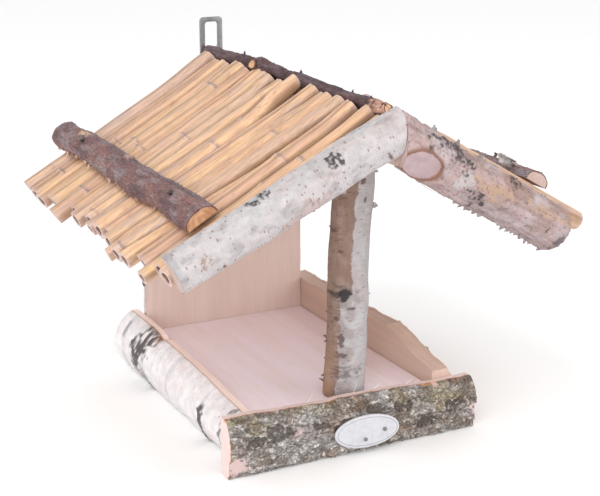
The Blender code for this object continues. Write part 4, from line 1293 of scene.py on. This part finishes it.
def bark_plates(grid, size, seed, warp):
    """Flakes of old bark: 1 inside a flake and 0 in the cracks, and each flake's own level."""
    at = grid.grain / np.asarray(size, float)
    at = at + warp * np.stack([noise(grid.grain, size, seed + k, 2) for k in range(3)], axis=-1)
    cell = np.floor(at)
    nearest = np.full(at.shape[:-1], 9.0)
    second = np.full(at.shape[:-1], 9.0)
    level = np.zeros(at.shape[:-1])
    for step in itertools.product((-1, 0, 1), repeat=3):
        there = (cell + step).astype(np.int64)
        jitter = np.stack([lattice(there, seed + 10 + k) for k in range(3)], axis=-1)
        away = np.linalg.norm(there + jitter - at, axis=-1)
        closer = away < nearest
        second = np.where(closer, nearest, np.minimum(second, away))
        level = np.where(closer, lattice(there, seed + 20), level)
        nearest = np.where(closer, away, nearest)
    return smooth(second - nearest, 0.0, 0.28), level


def front_slab():
    """The tray's front: old crusty bark in flakes, with lichen, and pressed flat by the label."""
    bark_columns = 112
    low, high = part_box("front_slab")
    top_of = crest("front_slab", 0)
    label = cad_points("label_plate")
    label_low, label_high = label.min(0), label.max(0)
    wave = bumps(131, 0.18 * MM, 0.04)

    def place(x, up, out):
        """A point at this height and this far out from the slab's sawn inner face."""
        return (x, high.y - out, low.z + up)

    places = np.linspace(low.x, high.x, 380)
    profile = (6.6 * MM, 10.6 * MM, 3.4 * MM, 0.50)
    pith = (low.x, high.y + 60 * MM, 12 * MM)
    grid = slab_grid(places, lambda x: top_of(x) + wave(x), place,
                     ((1, 0, 0), (0, -1, 0), (0, 0, 1)), pith, profile,
                     (8, 9, bark_columns, 8))
    length = (high.x - low.x) / MM
    u = grid.along / length
    v = 1 - grid.across / grid.width

    def spots(places_and_sizes, seed):
        """1 inside any of some ragged areas, each a place and a size in shares of the bark."""
        return np.maximum.reduce([region(u, v, at, size, grid, seed + k)
                                  for k, (at, size) in enumerate(places_and_sizes)])

    plate, plate_level = bark_plates(grid, (8.0, 5.5, 4.5), 132, 0.6)
    flake, flake_level = bark_plates(grid, (2.9, 2.3, 2.1), 133, 0.6)
    crumbs = noise(grid.grain, (1.3, 1.2, 1.2), 134, 3)
    lumps = noise(grid.grain, (13, 8, 6), 136, 2)
    flaked = spots((((0.040, 0.24), (0.050, 0.18)), ((1.0, 0.40), (0.030, 0.14)),
                    ((0.262, 0.58), (0.018, 0.06)), ((0.84, 0.93), (0.022, 0.05))), 137)
    hollow = spots((((0.19, 0.64), (0.060, 0.13)), ((0.575, 0.70), (0.055, 0.09)),
                    ((0.10, 0.55), (0.035, 0.14)), ((0.455, 0.52), (0.060, 0.09)),
                    ((0.90, 0.50), (0.040, 0.16)), ((0.78, 0.32), (0.050, 0.12)),
                    ((0.36, 0.62), (0.050, 0.07)), ((0.69, 0.66), (0.050, 0.08))), 180)
    rise = (0.85 * plate_level * (0.3 + 0.7 * plate) + 0.75 * flake_level * (0.35 + 0.65 * flake)
            + 0.28 * crumbs + 0.45 * lumps - 0.9 * hollow)
    relief = rise * (1 - flaked) + flaked * (-0.7 + 0.06 * crumbs)
    foot = smooth(0.16 - v, 0.0, 0.14)
    relief = relief + 0.7 * noise(grid.grain, (5, 3, 3), 140, 3) * foot
    grid.swell(relief * MM, margin=0.8)
    x, y, z = np.moveaxis(grid.points, -1, 0)
    middle = 0.5 * (label_low + label_high)
    half = 0.5 * (label_high - label_low)
    over = np.hypot((x - middle[0]) / (half[0] + 1.2 * MM), (z - middle[2]) / (half[2] + 1.2 * MM))
    limit = label_high[1] + 0.1 * MM
    grid.points[..., 2] = np.maximum(z, low.z)
    pressed = (over < 1.0) & (grid.bark > 0) & (y < limit)
    grid.points[..., 1] = np.where(pressed, limit, y)

    wide = blotches(grid.grain, (12, 7, 7), 141, -0.5, 0.6)
    tone = mixed(CRUST_GREY, CRUST_BROWN, wide)
    tone = tone * (0.72 + 0.5 * flake_level)[..., None]
    pale = smooth(0.5 * flake_level + 0.5 * plate_level + 0.25 * crumbs, 0.52, 0.80)
    tone = mixed(tone, CRUST_PALE, 0.75 * pale * (1 - 0.6 * wide))
    olive = spots((((0.03, 0.92), (0.05, 0.12)), ((0.34, 0.94), (0.10, 0.13)),
                   ((0.86, 0.72), (0.09, 0.2)), ((0.68, 0.84), (0.05, 0.12)),
                   ((0.10, 0.76), (0.05, 0.10))), 150)
    tone = mixed(tone, LICHEN_OLIVE, 0.55 * olive * (1 - 0.5 * pale))
    white = spots((((0.30, 0.82), (0.026, 0.13)), ((0.60, 0.90), (0.055, 0.11)),
                   ((0.73, 0.92), (0.035, 0.10)), ((0.27, 0.30), (0.055, 0.20)),
                   ((0.20, 0.38), (0.050, 0.16)), ((0.41, 0.24), (0.050, 0.14)),
                   ((0.13, 0.12), (0.050, 0.08)), ((0.335, 0.12), (0.030, 0.12)),
                   ((0.585, 0.78), (0.028, 0.07))), 160)
    tone = mixed(tone, LICHEN_WHITE, 0.66 * white * (0.35 + 0.65 * flake))
    brown = spots((((0.40, 0.60), (0.060, 0.2)), ((0.40, 0.10), (0.030, 0.10)),
                   ((0.50, 0.84), (0.045, 0.12)), ((0.93, 0.93), (0.040, 0.06)),
                   ((0.66, 0.25), (0.050, 0.10)), ((0.40, 0.93), (0.030, 0.05))), 170)
    tone = mixed(tone, CRUST_RUST, 0.5 * brown)
    # cracks between the flakes, low spots and hollows darkened: partly the bark's own dark cracks, partly
    # painted shade in the recesses
    cracks = np.maximum(0.8 * (1 - plate), 0.85 * (1 - flake) * smooth(flake_level, 0.1, 0.6))
    low_spot_shade = smooth(-rise, -0.55, 0.35)
    dark = np.clip(np.maximum(cracks, 0.85 * low_spot_shade) + 0.45 * hollow, 0, 1) * (1 - flaked)
    tone = mixed(tone, CRUST_CRACK_SHADE, 0.80 * dark)
    tone = mixed(tone, CRUST_FLAKED, 0.95 * flaked)
    orange = spots((((0.81, 0.97), (0.030, 0.045)), ((0.90, 0.99), (0.04, 0.03))), 190)
    tone = mixed(tone, CRUST_ORANGE, 0.85 * orange)
    inner_line = 1 - smooth(grid.across, 0.45, 1.0 + 0.45 * noise(grid.grain, (3, 3, 3), 191))
    tone = mixed(tone, CRUST_EDGE, 0.95 * inner_line)
    piece = Piece("front_slab_board")
    piece.add_grid(grid, tone, marks=0.9 * flaked, rim=CRUST_RIM, rim_depth=1.1,
                   cap_tone=FRONT_END)
    rng = np.random.default_rng(195)
    rows, first = len(grid.points), int(np.argmax(grid.bark > 0))
    for _ in range(130):
        row = int(rng.uniform(0.01, 0.99) * rows)
        column = first + int(rng.uniform(0.03, 0.88) * bark_columns)
        root = grid.points[row, column]
        if math.hypot((root[0] - middle[0]) / (half[0] + 3 * MM),
                      (root[2] - middle[2]) / (half[2] + 2 * MM)) < 1:
            continue
        shade = rng.uniform(0.35, 1.15)
        piece.add_flake(root, (rng.uniform(-1, 1), rng.uniform(-0.55, 0.0), rng.uniform(-1, 1)),
                        (rng.uniform(-1, 1), 0.2, rng.uniform(-1, 1)),
                        rng.uniform(0.6, 1.6) * MM, rng.uniform(1.0, 2.6) * MM,
                        rng.uniform(-0.9, 0.9), (0.52 * shade, 0.48 * shade, 0.45 * shade),
                        int(rng.integers(1 << 30)), thick=0.45)
    piece.build([ROUGH, SAWN_PINK], ["front_slab"], "rough_bark", sharp=70)


def region(u, v, at, size, grid, seed):
    """1 inside a ragged area of a slab, given in shares of its length and its bark width."""
    away = np.hypot((u - at[0]) / size[0], (v - at[1]) / size[1])
    away = away + 0.5 * noise(grid.grain, (3.0, 2.2, 2.2), seed)
    return 1 - smooth(away, 0.65, 1.05)


def back_board():
    """The upright log slab: its flat sawn face in front, its white bark behind."""
    low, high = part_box("back_board")
    half = 0.5 * (high.x - low.x)
    middle_x = 0.5 * (high.x + low.x)
    rows, front_columns, bark_columns = 240, 40, 150
    squareness = 2.8                                          # 2 would be half an ellipse
    depth = high.y - low.y - 1.0 * MM
    turns = np.linspace(0, math.pi, bark_columns)
    cosine, sine = np.cos(turns), np.sin(turns).clip(0)
    bark_x = np.sign(cosine) * np.abs(cosine) ** (2 / squareness)
    bark_y = sine ** (2 / squareness)
    front_x = np.linspace(-1, 1, front_columns + 2)[1:-1]
    across = np.concatenate([bark_x, front_x])
    out = np.concatenate([bark_y, 0 * front_x])
    kinds = np.concatenate([np.ones(bark_columns), np.zeros(front_columns)])
    share = np.linspace(0, 1, rows)[:, None]
    x = middle_x + half * across
    top = roof_underside(x)
    z = low.z + (top - low.z) * share
    swelling = 1 + 0.03 * bumps(201, 1.0, 0.09)(z)
    y = low.y + depth * out * swelling
    points = np.stack(np.broadcast_arrays(x, y, z), axis=-1)
    pith = (middle_x + 8 * MM, low.y - 55 * MM, low.z)
    grid = Grid(points, kinds, ((0, 0, 1), (1, 0, 0), (0, 1, 0)), pith)
    dark = blotches(grid.grain, (5, 14, 14), 202, 0.42, 0.7)
    dark = np.maximum(dark, patch(grid, (96, 62), (9, 14), 203, 0.8))
    bands = blotches(grid.grain, (2.6, 26, 26), 204, 0.1, 0.8)
    grid.swell(birch_relief(grid, 205, 1.4) + scab(grid, 206, dark), margin=0.9)
    tone = mixed(WHITE_BARK, PINK_BARK, 0.4 * blotches(grid.grain, (14, 10, 10), 207, -0.2, 0.8))
    tone = mixed(tone, BACK_BAND, 0.45 * bands)
    tone = mixed(tone, BLACK_BARK, 0.88 * dark)
    tone = mixed(tone, BACK_EDGE, 1 - smooth(grid.edge, 0.3, 0.9))
    piece = Piece("back_board_slab")
    piece.add_grid(grid, tone, marks=np.clip(0.9 - dark, 0, 1), rim_depth=0.6)
    piece.build([BIRCH, SAWN_BACK], ["back_board"], "birch_bark", shade=(0.75, 0.75, 0.75))


def sawn_board(name, node, section, eased):
    """A sawn board along Y: section is its corners (x, z), eased their rounding in mm."""
    low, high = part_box(node)
    corners = np.array(section, float)
    reach = eased * MM
    ring = []
    for before, corner, after in zip(np.roll(corners, 1, 0), corners, np.roll(corners, -1, 0)):
        to_before = (before - corner) / np.linalg.norm(before - corner)
        to_after = (after - corner) / np.linalg.norm(after - corner)
        for share in (0.0, 0.5, 1.0):
            first = corner + to_before * reach * (1 - share)
            second = corner + to_after * reach * share
            ring.append(first * (1 - share) + second * share)
        gap = np.linalg.norm(after - corner) - 2 * reach
        steps = max(2, int(gap / (2.0 * MM)))
        for step in range(1, steps):
            ring.append(corner + to_after * (reach + gap * step / steps))
    ring = np.array(ring)
    span = high.y - low.y
    rows = np.concatenate([(0.0, 0.5 * eased * MM / span), np.linspace(0.004, 0.996, 70),
                           (1 - 0.5 * eased * MM / span, 1.0)])
    middle = ring.mean(0)
    points = []
    for index, share in enumerate(rows):
        shrink = 1 - 0.004 * (index in (0, len(rows) - 1))
        flat = middle + (ring - middle) * shrink
        line = np.full((len(ring), 1), low.y + span * share)
        points.append(np.concatenate((flat[:, :1], line, flat[:, 1:]), axis=1))
    points = np.array(points)
    pith = points.mean((0, 1)) - np.array((6, 4, 40)) * MM
    grid = Grid(points, np.zeros(len(ring)), ((0, 1, 0), (1, 0, 0), (0, 0, 1)), pith)
    planed = 0.05 * noise(grid.grain, (60, 4, 4), 211, 2) * MM
    grid.points = grid.points + grid.normals() * planed[..., None]
    piece = Piece(name)
    piece.add_grid(grid, np.broadcast_to(WOOD, grid.points.shape), marks=0.0)
    return piece


def floor_board():
    """The tray's floor, with slivers left by the saw along its front edge."""
    low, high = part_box("floor_board")
    section = ((low.x, low.z), (high.x, low.z), (high.x, high.z), (low.x, high.z))
    piece = sawn_board("floor_plank", "floor_board", section, 0.5)
    rng = np.random.default_rng(221)
    slab_top = crest("front_slab", 0)
    slab_low, slab_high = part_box("front_slab")
    for index, (share, length) in enumerate(((0.33, 5.5), (0.43, 3.2), (0.52, 6.5), (0.60, 4.0),
                                             (0.74, 4.5), (0.78, 3.4), (0.22, 2.4))):
        x = slab_low.x + share * (slab_high.x - slab_low.x)
        root = (x, slab_high.y - 0.6 * MM, float(slab_top(x)) - 0.1 * MM)
        outward = (rng.uniform(0.4, 1.0), rng.uniform(-0.2, 0.5), rng.uniform(0.1, 0.7))
        piece.add_flake(root, outward, (0.2, 1, 0.3), length * MM, 0.5 * MM,
                        rng.uniform(-0.9, 0.9), SLIVER, 230 + index)
    piece.build([BIRCH, SAWN_FLOOR], ["floor_board"], "planed_wood")


def roof_boards():
    """The two boards under the reeds, mitred where they meet at the apex."""
    gap = 0.2 * MM
    for side, node in ((LEFT, "left_roof_board"), (RIGHT, "right_roof_board")):
        (_, far), (under, over) = reach_on_roof(side, node)
        thick = over - under
        mitre = thick * math.tan(ROOF[side]["pitch"])
        corners = [on_roof(side, down, height, 0.0) for down, height in
                   ((gap, 0.0), (far, 0.0), (far, -thick), (gap + mitre, -thick))]
        section = [(corner[0], corner[2]) for corner in corners]
        piece = sawn_board(f"{node}_plank", node, section, 0.3)
        # painted shade: the darker tan wood makes the gaps between the reeds on the boards read dark
        piece.build([BIRCH, SAWN_TAN], [node], "planed_wood")


# --- Reeds ----------------------------------------------------------------------------------
# From the back to the front: width half way down, width at the eave (mm), colour, nodes (mm down)
LEFT_REEDS = ((12.0, 11.0, 3, ()), (10.6, 12.0, 1, (103,)), (12.0, 11.0, 0, (73,)),
              (13.0, 14.0, 2, (19, 68)), (10.6, 13.0, 1, (70, 105)), (9.1, 8.0, 0, ()),
              (12.0, 9.5, 4, (53,)), (9.9, 8.5, 2, (112,)), (6.0, 6.8, 3, (30,)),
              (10.6, 9.5, 0, (51,)), (9.1, 7.0, 1, (79,)), (7.6, 9.1, 2, ()),
              (8.3, 6.0, 0, (32,)), (8.3, 8.0, 4, (118,)), (5.0, 7.5, 0, ()),
              (10.6, 12.0, 1, (42, 88)), (5.0, 6.0, 2, (57,)), (7.6, 8.0, 0, (39,)),
              (8.0, 9.0, 2, ()))
SPLAYED_REED = 9                       # its upper end stands up from the roof
EAVE_GAP_BEFORE = 15                   # two stems part here towards the eave
EAVE_GAP = 2.2                         # mm


def right_reeds():
    """Widths, colours and nodes of the right slope's stems, drawn at random."""
    rng = np.random.default_rng(301)
    count = sum(1 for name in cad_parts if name.startswith("right_reed"))
    reeds = []
    for _ in range(count):
        width = rng.uniform(8.0, 13.0)
        nodes = tuple(sorted(rng.uniform(14, 112, int(rng.integers(0, 3)))))
        reeds.append((width, width * rng.uniform(0.85, 1.15), int(rng.integers(5)), nodes))
    return reeds


def reed_layer(side, prefix, reeds, seed):
    """One roof side's stems, laid from the back edge to the front edge."""
    roof = ROOF[side]
    length = roof["back"] - roof["front"]
    rng = np.random.default_rng(seed)
    middle_widths = np.array([reed[0] for reed in reeds])
    eave_widths = np.array([reed[1] for reed in reeds])
    spare = np.zeros(len(reeds))
    if side == LEFT:
        spare[EAVE_GAP_BEFORE] = EAVE_GAP
    middle_scale = length / middle_widths.sum()
    eave_scale = (length + 2 * MM) / (eave_widths.sum() + spare.sum())
    middle_y = roof["back"] - (np.cumsum(middle_widths) - middle_widths / 2) * middle_scale
    eave_y = roof["back"] + 1 * MM - (np.cumsum(eave_widths + spare) - eave_widths / 2) * eave_scale
    for index, (_, _, shade, nodes) in enumerate(reeds):
        node = f"{prefix}_reed_{len(reeds) - index:02d}"
        (near, far), _ = reach_on_roof(side, node)
        reed(node, side, middle_y[index], eave_y[index],
             0.5 * middle_widths[index] * middle_scale, 0.5 * eave_widths[index] * eave_scale,
             near + rng.uniform(-2.6, 0.8) * MM, far + rng.uniform(-2.2, 2.0) * MM,
             shade, nodes, int(rng.integers(1 << 30)), side == LEFT and index == SPLAYED_REED)


def reed(node, side, middle_y, eave_y, middle_half, eave_half, start, end, shade, nodes, seed,
         splayed):
    """A hollow stem: swollen joints, a slight bend, stripes, and open sawn ends."""
    rng = np.random.default_rng(seed)
    columns = 30
    turns = circle_turns(columns)
    marks = [start, end, *np.arange(start, end, 1.3 * MM)]
    for joint in nodes:
        marks += list(joint * MM + np.arange(-2.4, 2.5, 0.3) * MM)
    down = np.unique(np.round([mark for mark in marks if start <= mark <= end], 5))
    down = down[np.concatenate([[True], np.diff(down) > 0.15 * MM])]
    share = (down - 60 * MM) / (60 * MM)
    half = middle_half + (eave_half - middle_half) * share
    half = half * (1 + 0.02 * bumps(seed, 1.0, 0.04)(down)) + 0.15 * MM
    centre = middle_y + (eave_y - middle_y) * share + bumps(seed + 1, 0.35 * MM, 0.11)(down)
    near_ridge = 1 - smooth(down, start, rng.uniform(22, 50) * MM)
    half = half * (1 - rng.choice((0.05, 0.12, 0.20, 0.42)) * near_ridge)
    tall = np.minimum(half, rng.uniform(4.0, 4.6) * MM)
    lift = rng.uniform(0.0, 0.9) * MM + rng.uniform(0.2, 1.8) * MM * near_ridge ** 2
    if splayed:
        lift = lift + 5.5 * MM * (1 - smooth(down, start, 42 * MM)) ** 1.3
        centre = centre - 2.0 * MM * (1 - smooth(down, start, 50 * MM))
    node_swell = 0 * down
    node_band = 0 * down
    scar = 0 * down
    for joint in nodes:
        away = (down - joint * MM) / MM
        node_swell = node_swell + 0.30 * np.exp(-(away / 1.3) ** 2)
        node_swell = node_swell - 0.22 * np.exp(-((away - 0.2) / 0.35) ** 2)
        node_band = np.maximum(node_band, np.exp(-((away + 0.7) / 1.2) ** 2))
        scar = np.maximum(scar, np.exp(-((away - 0.35) / 0.35) ** 2))
    half, tall = half + node_swell * MM, tall + node_swell * MM
    flat = rng.uniform(-0.25, 0.25)
    groove = np.exp(-((turns - rng.uniform(1.0, 2.3)) / 0.19) ** 2)
    groove = groove * (0.9 if middle_half > 4.6 * MM else 0.3)
    fold = 1 - 0.19 * groove
    across = (np.cos(turns) + 0.08 * flat * np.cos(2 * turns)) * fold
    above = np.sin(turns) * fold

    def ring(at, inner, y, centre_height, wide, high):
        """The stem's outline at one place down the slope, shrunk to a share of its size."""
        return on_roof(side, at, centre_height + high * inner * above, y + wide * inner * across)

    base = tall + lift + 0.25 * MM
    outer = np.stack([ring(down[i], 1.0, centre[i], base[i], half[i], tall[i])
                      for i in range(len(down))])
    bore = rng.uniform(0.52, 0.66)
    slant = rng.uniform(-0.5, 0.5) * MM * np.sin(turns) + rng.uniform(-0.4, 0.4) * MM * np.cos(turns)
    rings = []
    for i, inward in ((0, 1), (-1, -1)):
        end_rings = [ring(down[i] + inward * depth * MM + (slant if depth == 0.0 else 0.0), size,
                          centre[i], base[i], half[i], tall[i])
                     for depth, size in ((5.0, 0.9 * bore), (0.6, bore), (0.0, 1.02 * bore),
                                         (0.0, 0.90))]
        rings.append(np.stack(end_rings if i == 0 else end_rings[::-1]))
    outer[0] = ring(down[0] + slant + 0.1 * MM, 1.0, centre[0], base[0], half[0], tall[0])
    outer[-1] = ring(down[-1] + slant - 0.1 * MM, 1.0, centre[-1], base[-1], half[-1], tall[-1])
    points = np.concatenate([rings[0], outer, rings[1]])
    axes = (roof_step(side, 1.0), (0, 1, 0), roof_step(side, 0.0, 1.0))
    pith = on_roof(side, 0.0, 0.0, middle_y) - np.array((0.0, rng.uniform(0.1, 0.6), 0.0))
    grid = Grid(points, np.ones(columns), axes, pith)
    body = slice(4, 4 + len(down))
    grain = grid.grain[body]
    tone = np.broadcast_to(REEDS[shade], grain.shape) * rng.uniform(0.88, 1.08)
    warm = blotches(grain, (45, 2.2, 2.2), seed % 997, -0.6, 0.9)
    tone = mixed(tone, REED_WARM, 0.50 * warm)
    tone = mixed(tone, REED_GOLD, 0.55 * blotches(grain, (70, 1.9, 1.9), seed % 991, 0.0, 0.8))
    dull = blotches(grain, (22, 3, 3), seed % 983, 0.25, 1.0)
    tone = mixed(tone, REED_DULL, 0.60 * dull)
    stain = blotches(grain, (5, 1.0, 1.0), seed % 977, 0.55, 0.9, 2)
    tone = mixed(tone, REED_STAIN, 0.35 * stain)
    tone = mixed(tone, REED_NODE,
                 0.80 * node_band[:, None] * blotches(grain, (2, 2, 2), 303, -1.0, 0.3))
    tone = mixed(tone, REED_SCAR, 0.7 * scar[:, None])
    # painted shade: each stem darkened on its flanks, where it turns down into the valley beside its
    # neighbour
    side_shade = smooth(np.abs(np.cos(turns)), 0.78, 0.98)
    tone = mixed(tone, REED_SIDE_SHADE, 0.62 * np.broadcast_to(side_shade, tone.shape[:-1]))
    # painted shade: the groove pressed along the stem darkened
    tone = mixed(tone, REED_GROOVE_SHADE, 0.65 * np.broadcast_to(groove, tone.shape[:-1]))
    worn = np.minimum(down - down[0], down[-1] - down) / MM
    worn = 0.5 * (1 - smooth(worn, 0.0, 3.0))
    tone = mixed(tone, REED_WORN, np.broadcast_to(worn[:, None], stain.shape))
    # the open ends: the sawn face pale, the bore painted shade, darkest at its bottom
    cut = np.array(REED_CUT)
    dark = np.array(REED_BORE_SHADE)
    head = np.stack([np.broadcast_to(colour, (columns, 3))
                     for colour in (dark, 1.6 * dark, cut, cut)])
    whole = np.concatenate([head, tone, head[::-1]])
    piece = Piece(f"{node}_stem")
    faces = closed_faces(len(points), columns)
    piece.add(with_ends(points), faces, with_alpha(with_ends(whole), 0.0), with_ends(grid.grain),
              [0] * len(faces))
    if rng.uniform() < 0.4:
        root = points[4 + int(rng.uniform(0.75, 0.97) * len(down)), int(rng.integers(2, 8))]
        piece.add_flake(root, roof_step(side, 1.0, 0.25), (0, 1, 0),
                        rng.uniform(2, 5) * MM, rng.uniform(0.7, 1.6) * MM, 0.6,
                        REED_SPLINTER, seed % 4093)
    piece.build([REED], [node], "reed_straw", sharp=60, shade=(0.83, 0.76, 0.76))


# --- Steel and the label --------------------------------------------------------------------
def hanger_plate():
    """The stamped strip with softly rounded edges, made from the CAD node's own mesh.

    The order in which Blender rounds the edges varies from run to run, so the corners and the
    triangles are put in order at the end.
    """
    work = bmesh.new()
    work.from_mesh(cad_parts["hanger_plate"].data)
    bmesh.ops.remove_doubles(work, verts=work.verts, dist=1e-6)
    bmesh.ops.dissolve_limit(work, angle_limit=math.radians(1.0), verts=work.verts,
                             edges=work.edges)
    edges = [edge for edge in work.edges if len(edge.link_faces) == 2
             and edge.calc_face_angle() > math.radians(60)]
    bmesh.ops.bevel(work, geom=edges, offset=0.28 * MM, segments=3, profile=0.5,
                    affect="EDGES")
    bmesh.ops.triangulate(work, faces=work.faces)
    work.verts.index_update()
    ordered = sorted(work.verts, key=lambda corner: tuple(corner.co))
    rank = {corner.index: position for position, corner in enumerate(ordered)}
    triangles = []
    for face in work.faces:
        corners = [rank[corner.index] for corner in face.verts]
        start = corners.index(min(corners))
        triangles.append(corners[start:] + corners[:start])
    place = np.array([tuple(corner.co) for corner in ordered])
    work.free()
    mesh = bpy.data.meshes.new("hanger_strip")
    mesh.from_pydata(place.tolist(), [], sorted(triangles))
    grain = mesh.attributes.new("grain", "FLOAT_VECTOR", "POINT")
    grain.data.foreach_set("vector", (place[:, (2, 0, 1)] / MM).astype(np.float32).ravel())
    mesh.materials.append(STEEL)
    register("hanger_strip", mesh, ["hanger_plate"], 40)


def turned_nail(node, inward, head_radius, head_height, domed, wire):
    """A wire nail: a slightly domed head with a rounded rim, a shank and a point."""
    points = cad_points(node)
    inward = np.array(Vector(inward).normalized())
    along = points @ inward
    start, end = along.min(), along.max()
    top = points[along < start + 0.2 * MM]
    centre = 0.5 * (top.min(0) + top.max(0))
    centre = centre - inward * (centre @ inward - start)
    length = end - start
    shank = 0.75 * MM
    profile = [(0.25 * head_radius, -domed), (0.6 * head_radius, -0.75 * domed),
               (0.88 * head_radius, -0.1 * domed), (head_radius, 0.35 * head_height),
               (0.96 * head_radius, head_height), (shank, head_height + 0.02 * MM),
               (shank, length - 2 * MM), (0.15 * shank, length)]
    side = np.array(Vector(inward).orthogonal().normalized())
    other = np.cross(inward, side)
    turns = circle_turns(24)
    circle = np.cos(turns)[:, None] * side + np.sin(turns)[:, None] * other
    rings = np.array([centre + inward * far + radius * circle for radius, far in profile])
    flat = with_ends(rings)
    faces = closed_faces(*rings.shape[:2])
    piece = Piece(f"{node}_wire")
    tones = with_alpha(np.broadcast_to(NAIL_TONE, flat.shape), 0.0)
    piece.add(flat, faces, tones, flat / MM, [0] * len(faces))
    piece.build([wire], [node], "steel", sharp=40)


def nails():
    """The hanger's nails, the label's pins and the battens' nails."""
    for node in ("hanger_nail_upper", "hanger_nail_lower"):
        turned_nail(node, (0, -1, 0), 1.9 * MM, 0.7 * MM, 0.15 * MM, STEEL)
    for node in ("label_pin_left", "label_pin_right"):
        turned_nail(node, (0, 1, 0), 0.95 * MM, 0.5 * MM, 0.1 * MM, STEEL)
    for side, prefix in ((LEFT, "left"), (RIGHT, "right")):
        inward = roof_step(side, 0.0, -1.0)
        for number in (1, 2):
            turned_nail(f"{prefix}_batten_nail_{number}", inward, 1.3 * MM, 0.5 * MM, 0.1 * MM,
                        DARK_STEEL)


def label_plate():
    """A blank white oval with a fine engraved line inside its rounded rim."""
    points = cad_points("label_plate")
    centre = 0.5 * (points.min(0) + points.max(0))
    away = points - centre
    tip = away[np.argmax(np.hypot(away[:, 0], away[:, 2]))]
    long_half = math.hypot(tip[0], tip[2])
    along = np.array((abs(tip[0]), 0, tip[2] * np.sign(tip[0]))) / long_half
    up = np.array((-along[2], 0, along[0]))
    short_half = np.abs(away @ up).max()
    back, front = points[:, 1].max(), points[:, 1].min()
    columns = 96
    turns = circle_turns(columns)
    profile = ((0.0, 0.0), (0.0, 0.55), (0.12, 0.82), (0.35, 0.97), (0.7, 1.0), (1.15, 1.0),
               (1.25, 0.90), (1.42, 0.90), (1.52, 1.0), (3.0, 1.0), (5.5, 1.0))
    rings, tones = [], []
    for inset, out in profile:
        wide, high = long_half - inset * MM, short_half - inset * MM
        flat = wide * np.cos(turns)[:, None] * along + high * np.sin(turns)[:, None] * up
        y = back + (front - back) * out
        rings.append(np.array((centre[0], y, centre[2])) + flat)
        colour = LABEL_LINE if out == 0.90 else LABEL_WHITE
        tones.append(np.broadcast_to(colour, (columns, 3)))
    flat = with_ends(np.array(rings))
    tone = with_ends(np.array(tones))
    faces = closed_faces(len(rings), columns)
    piece = Piece("label_oval")
    piece.add(flat, faces, with_alpha(tone, 0.0), flat / MM, [0] * len(faces))
    piece.build([LABEL], ["label_plate"], "label", sharp=40, shade=(0.64, 0.64, 0.66))


# --- Stage, light and camera ----------------------------------------------------------------
FLOOR_REACH = 6.0
FLOOR_DROP = 0.0003                    # keeps the paper clear of the slabs' feet
# name, place, what it points at, size, watts
LIGHTS = (("key", (-0.9, -0.6, 1.3), (0, 0, 0.08), 0.9, 8),
          ("front", (-0.75, -1.25, 0.42), (0, 0, 0.05), 0.9, 8),
          ("fill", (1.1, -0.9, 0.5), (0, 0, 0.05), 1.0, 4))
CAMERA_LENS = 82.59
CAMERA_SENSOR = 36.0
CAMERA_X, CAMERA_Z = -0.3028, 0.2795
CAMERA_FROM_SLAB = 0.5321              # metres in front of the front slab's sawn face
CAMERA_DOWN = 16.39                    # degrees below level
CAMERA_TURN = -27.56                   # degrees round the upright


def stage():
    """A plain pale floor."""
    mesh = bpy.data.meshes.new("studio_floor")
    reach = FLOOR_REACH
    mesh.from_pydata([(-reach, -reach, 0), (reach, -reach, 0), (reach, reach, 0),
                      (-reach, reach, 0)], [], [(0, 1, 2, 3)])
    floor = bpy.data.objects.new("studio_floor", mesh)
    floor.location.z = -FLOOR_DROP
    bpy.context.scene.collection.objects.link(floor)
    paper = bpy.data.materials.new("white_paper")
    paper.use_nodes = True
    surface = paper.node_tree.nodes["Principled BSDF"]
    surface.inputs["Base Color"].default_value = (0.93, 0.93, 0.93, 1)
    surface.inputs["Roughness"].default_value = 0.9
    surface.inputs["Specular IOR Level"].default_value = 0.1
    mesh.materials.append(paper)


def lights():
    """A white world and three round soft lights."""
    world = bpy.data.worlds.new("studio")
    world.use_nodes = True
    sky = world.node_tree.nodes["Background"]
    sky.inputs["Color"].default_value = (1, 1, 1, 1)
    sky.inputs["Strength"].default_value = 1.0
    bpy.context.scene.world = world
    for name, place, target, size, power in LIGHTS:
        light = bpy.data.lights.new(name, "AREA")
        light.shape = "DISK"
        light.size = size
        light.energy = power
        lamp = bpy.data.objects.new(name, light)
        lamp.location = place
        lamp.rotation_euler = (Vector(target) - Vector(place)).to_track_quat("-Z", "Y").to_euler()
        bpy.context.scene.collection.objects.link(lamp)
    bpy.context.scene.view_settings.view_transform = "Standard"


def camera():
    """The photograph's view, from the front left and a little above."""
    lens = bpy.data.cameras.new("camera")
    lens.lens = CAMERA_LENS
    lens.sensor_width = CAMERA_SENSOR
    eye = bpy.data.objects.new("camera", lens)
    slab_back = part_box("front_slab")[1].y
    eye.location = (CAMERA_X, slab_back - CAMERA_FROM_SLAB, CAMERA_Z)
    eye.rotation_euler = (math.radians(90 - CAMERA_DOWN), 0, math.radians(CAMERA_TURN))
    bpy.context.scene.collection.objects.link(eye)
    bpy.context.scene.camera = eye


# --- The whole feeder -----------------------------------------------------------------------
left_barge()
right_barge()
batten("left_batten", LEFT, 351, 0.50, (0.62, 0.38, 0.22), ORANGE_END)
batten("right_batten", RIGHT, 371, 0.35, (0.80, 0.56, 0.42), END_GRAIN)
ridge_branch()
front_post()
side_slab("left_side_slab", LEFT, (7.3 * MM, 14.2 * MM, 3.4 * MM, 0.75), 381, paint_left_slab,
          WOOD, SAWN, notch=(0.70, -1.1, 2.6))
side_slab("right_side_slab", RIGHT, (7.8 * MM, 16.0 * MM, 8.8 * MM, 1.0), 391, paint_right_slab,
          WOOD, SAWN_TAN, top_wave=0.35, notch=(0.30, 1.0, 2.0))
front_slab()
back_board()
floor_board()
roof_boards()
reed_layer(LEFT, "left", LEFT_REEDS, 311)
reed_layer(RIGHT, "right", right_reeds(), 312)
hanger_plate()
nails()
label_plate()
stage()
lights()
camera()
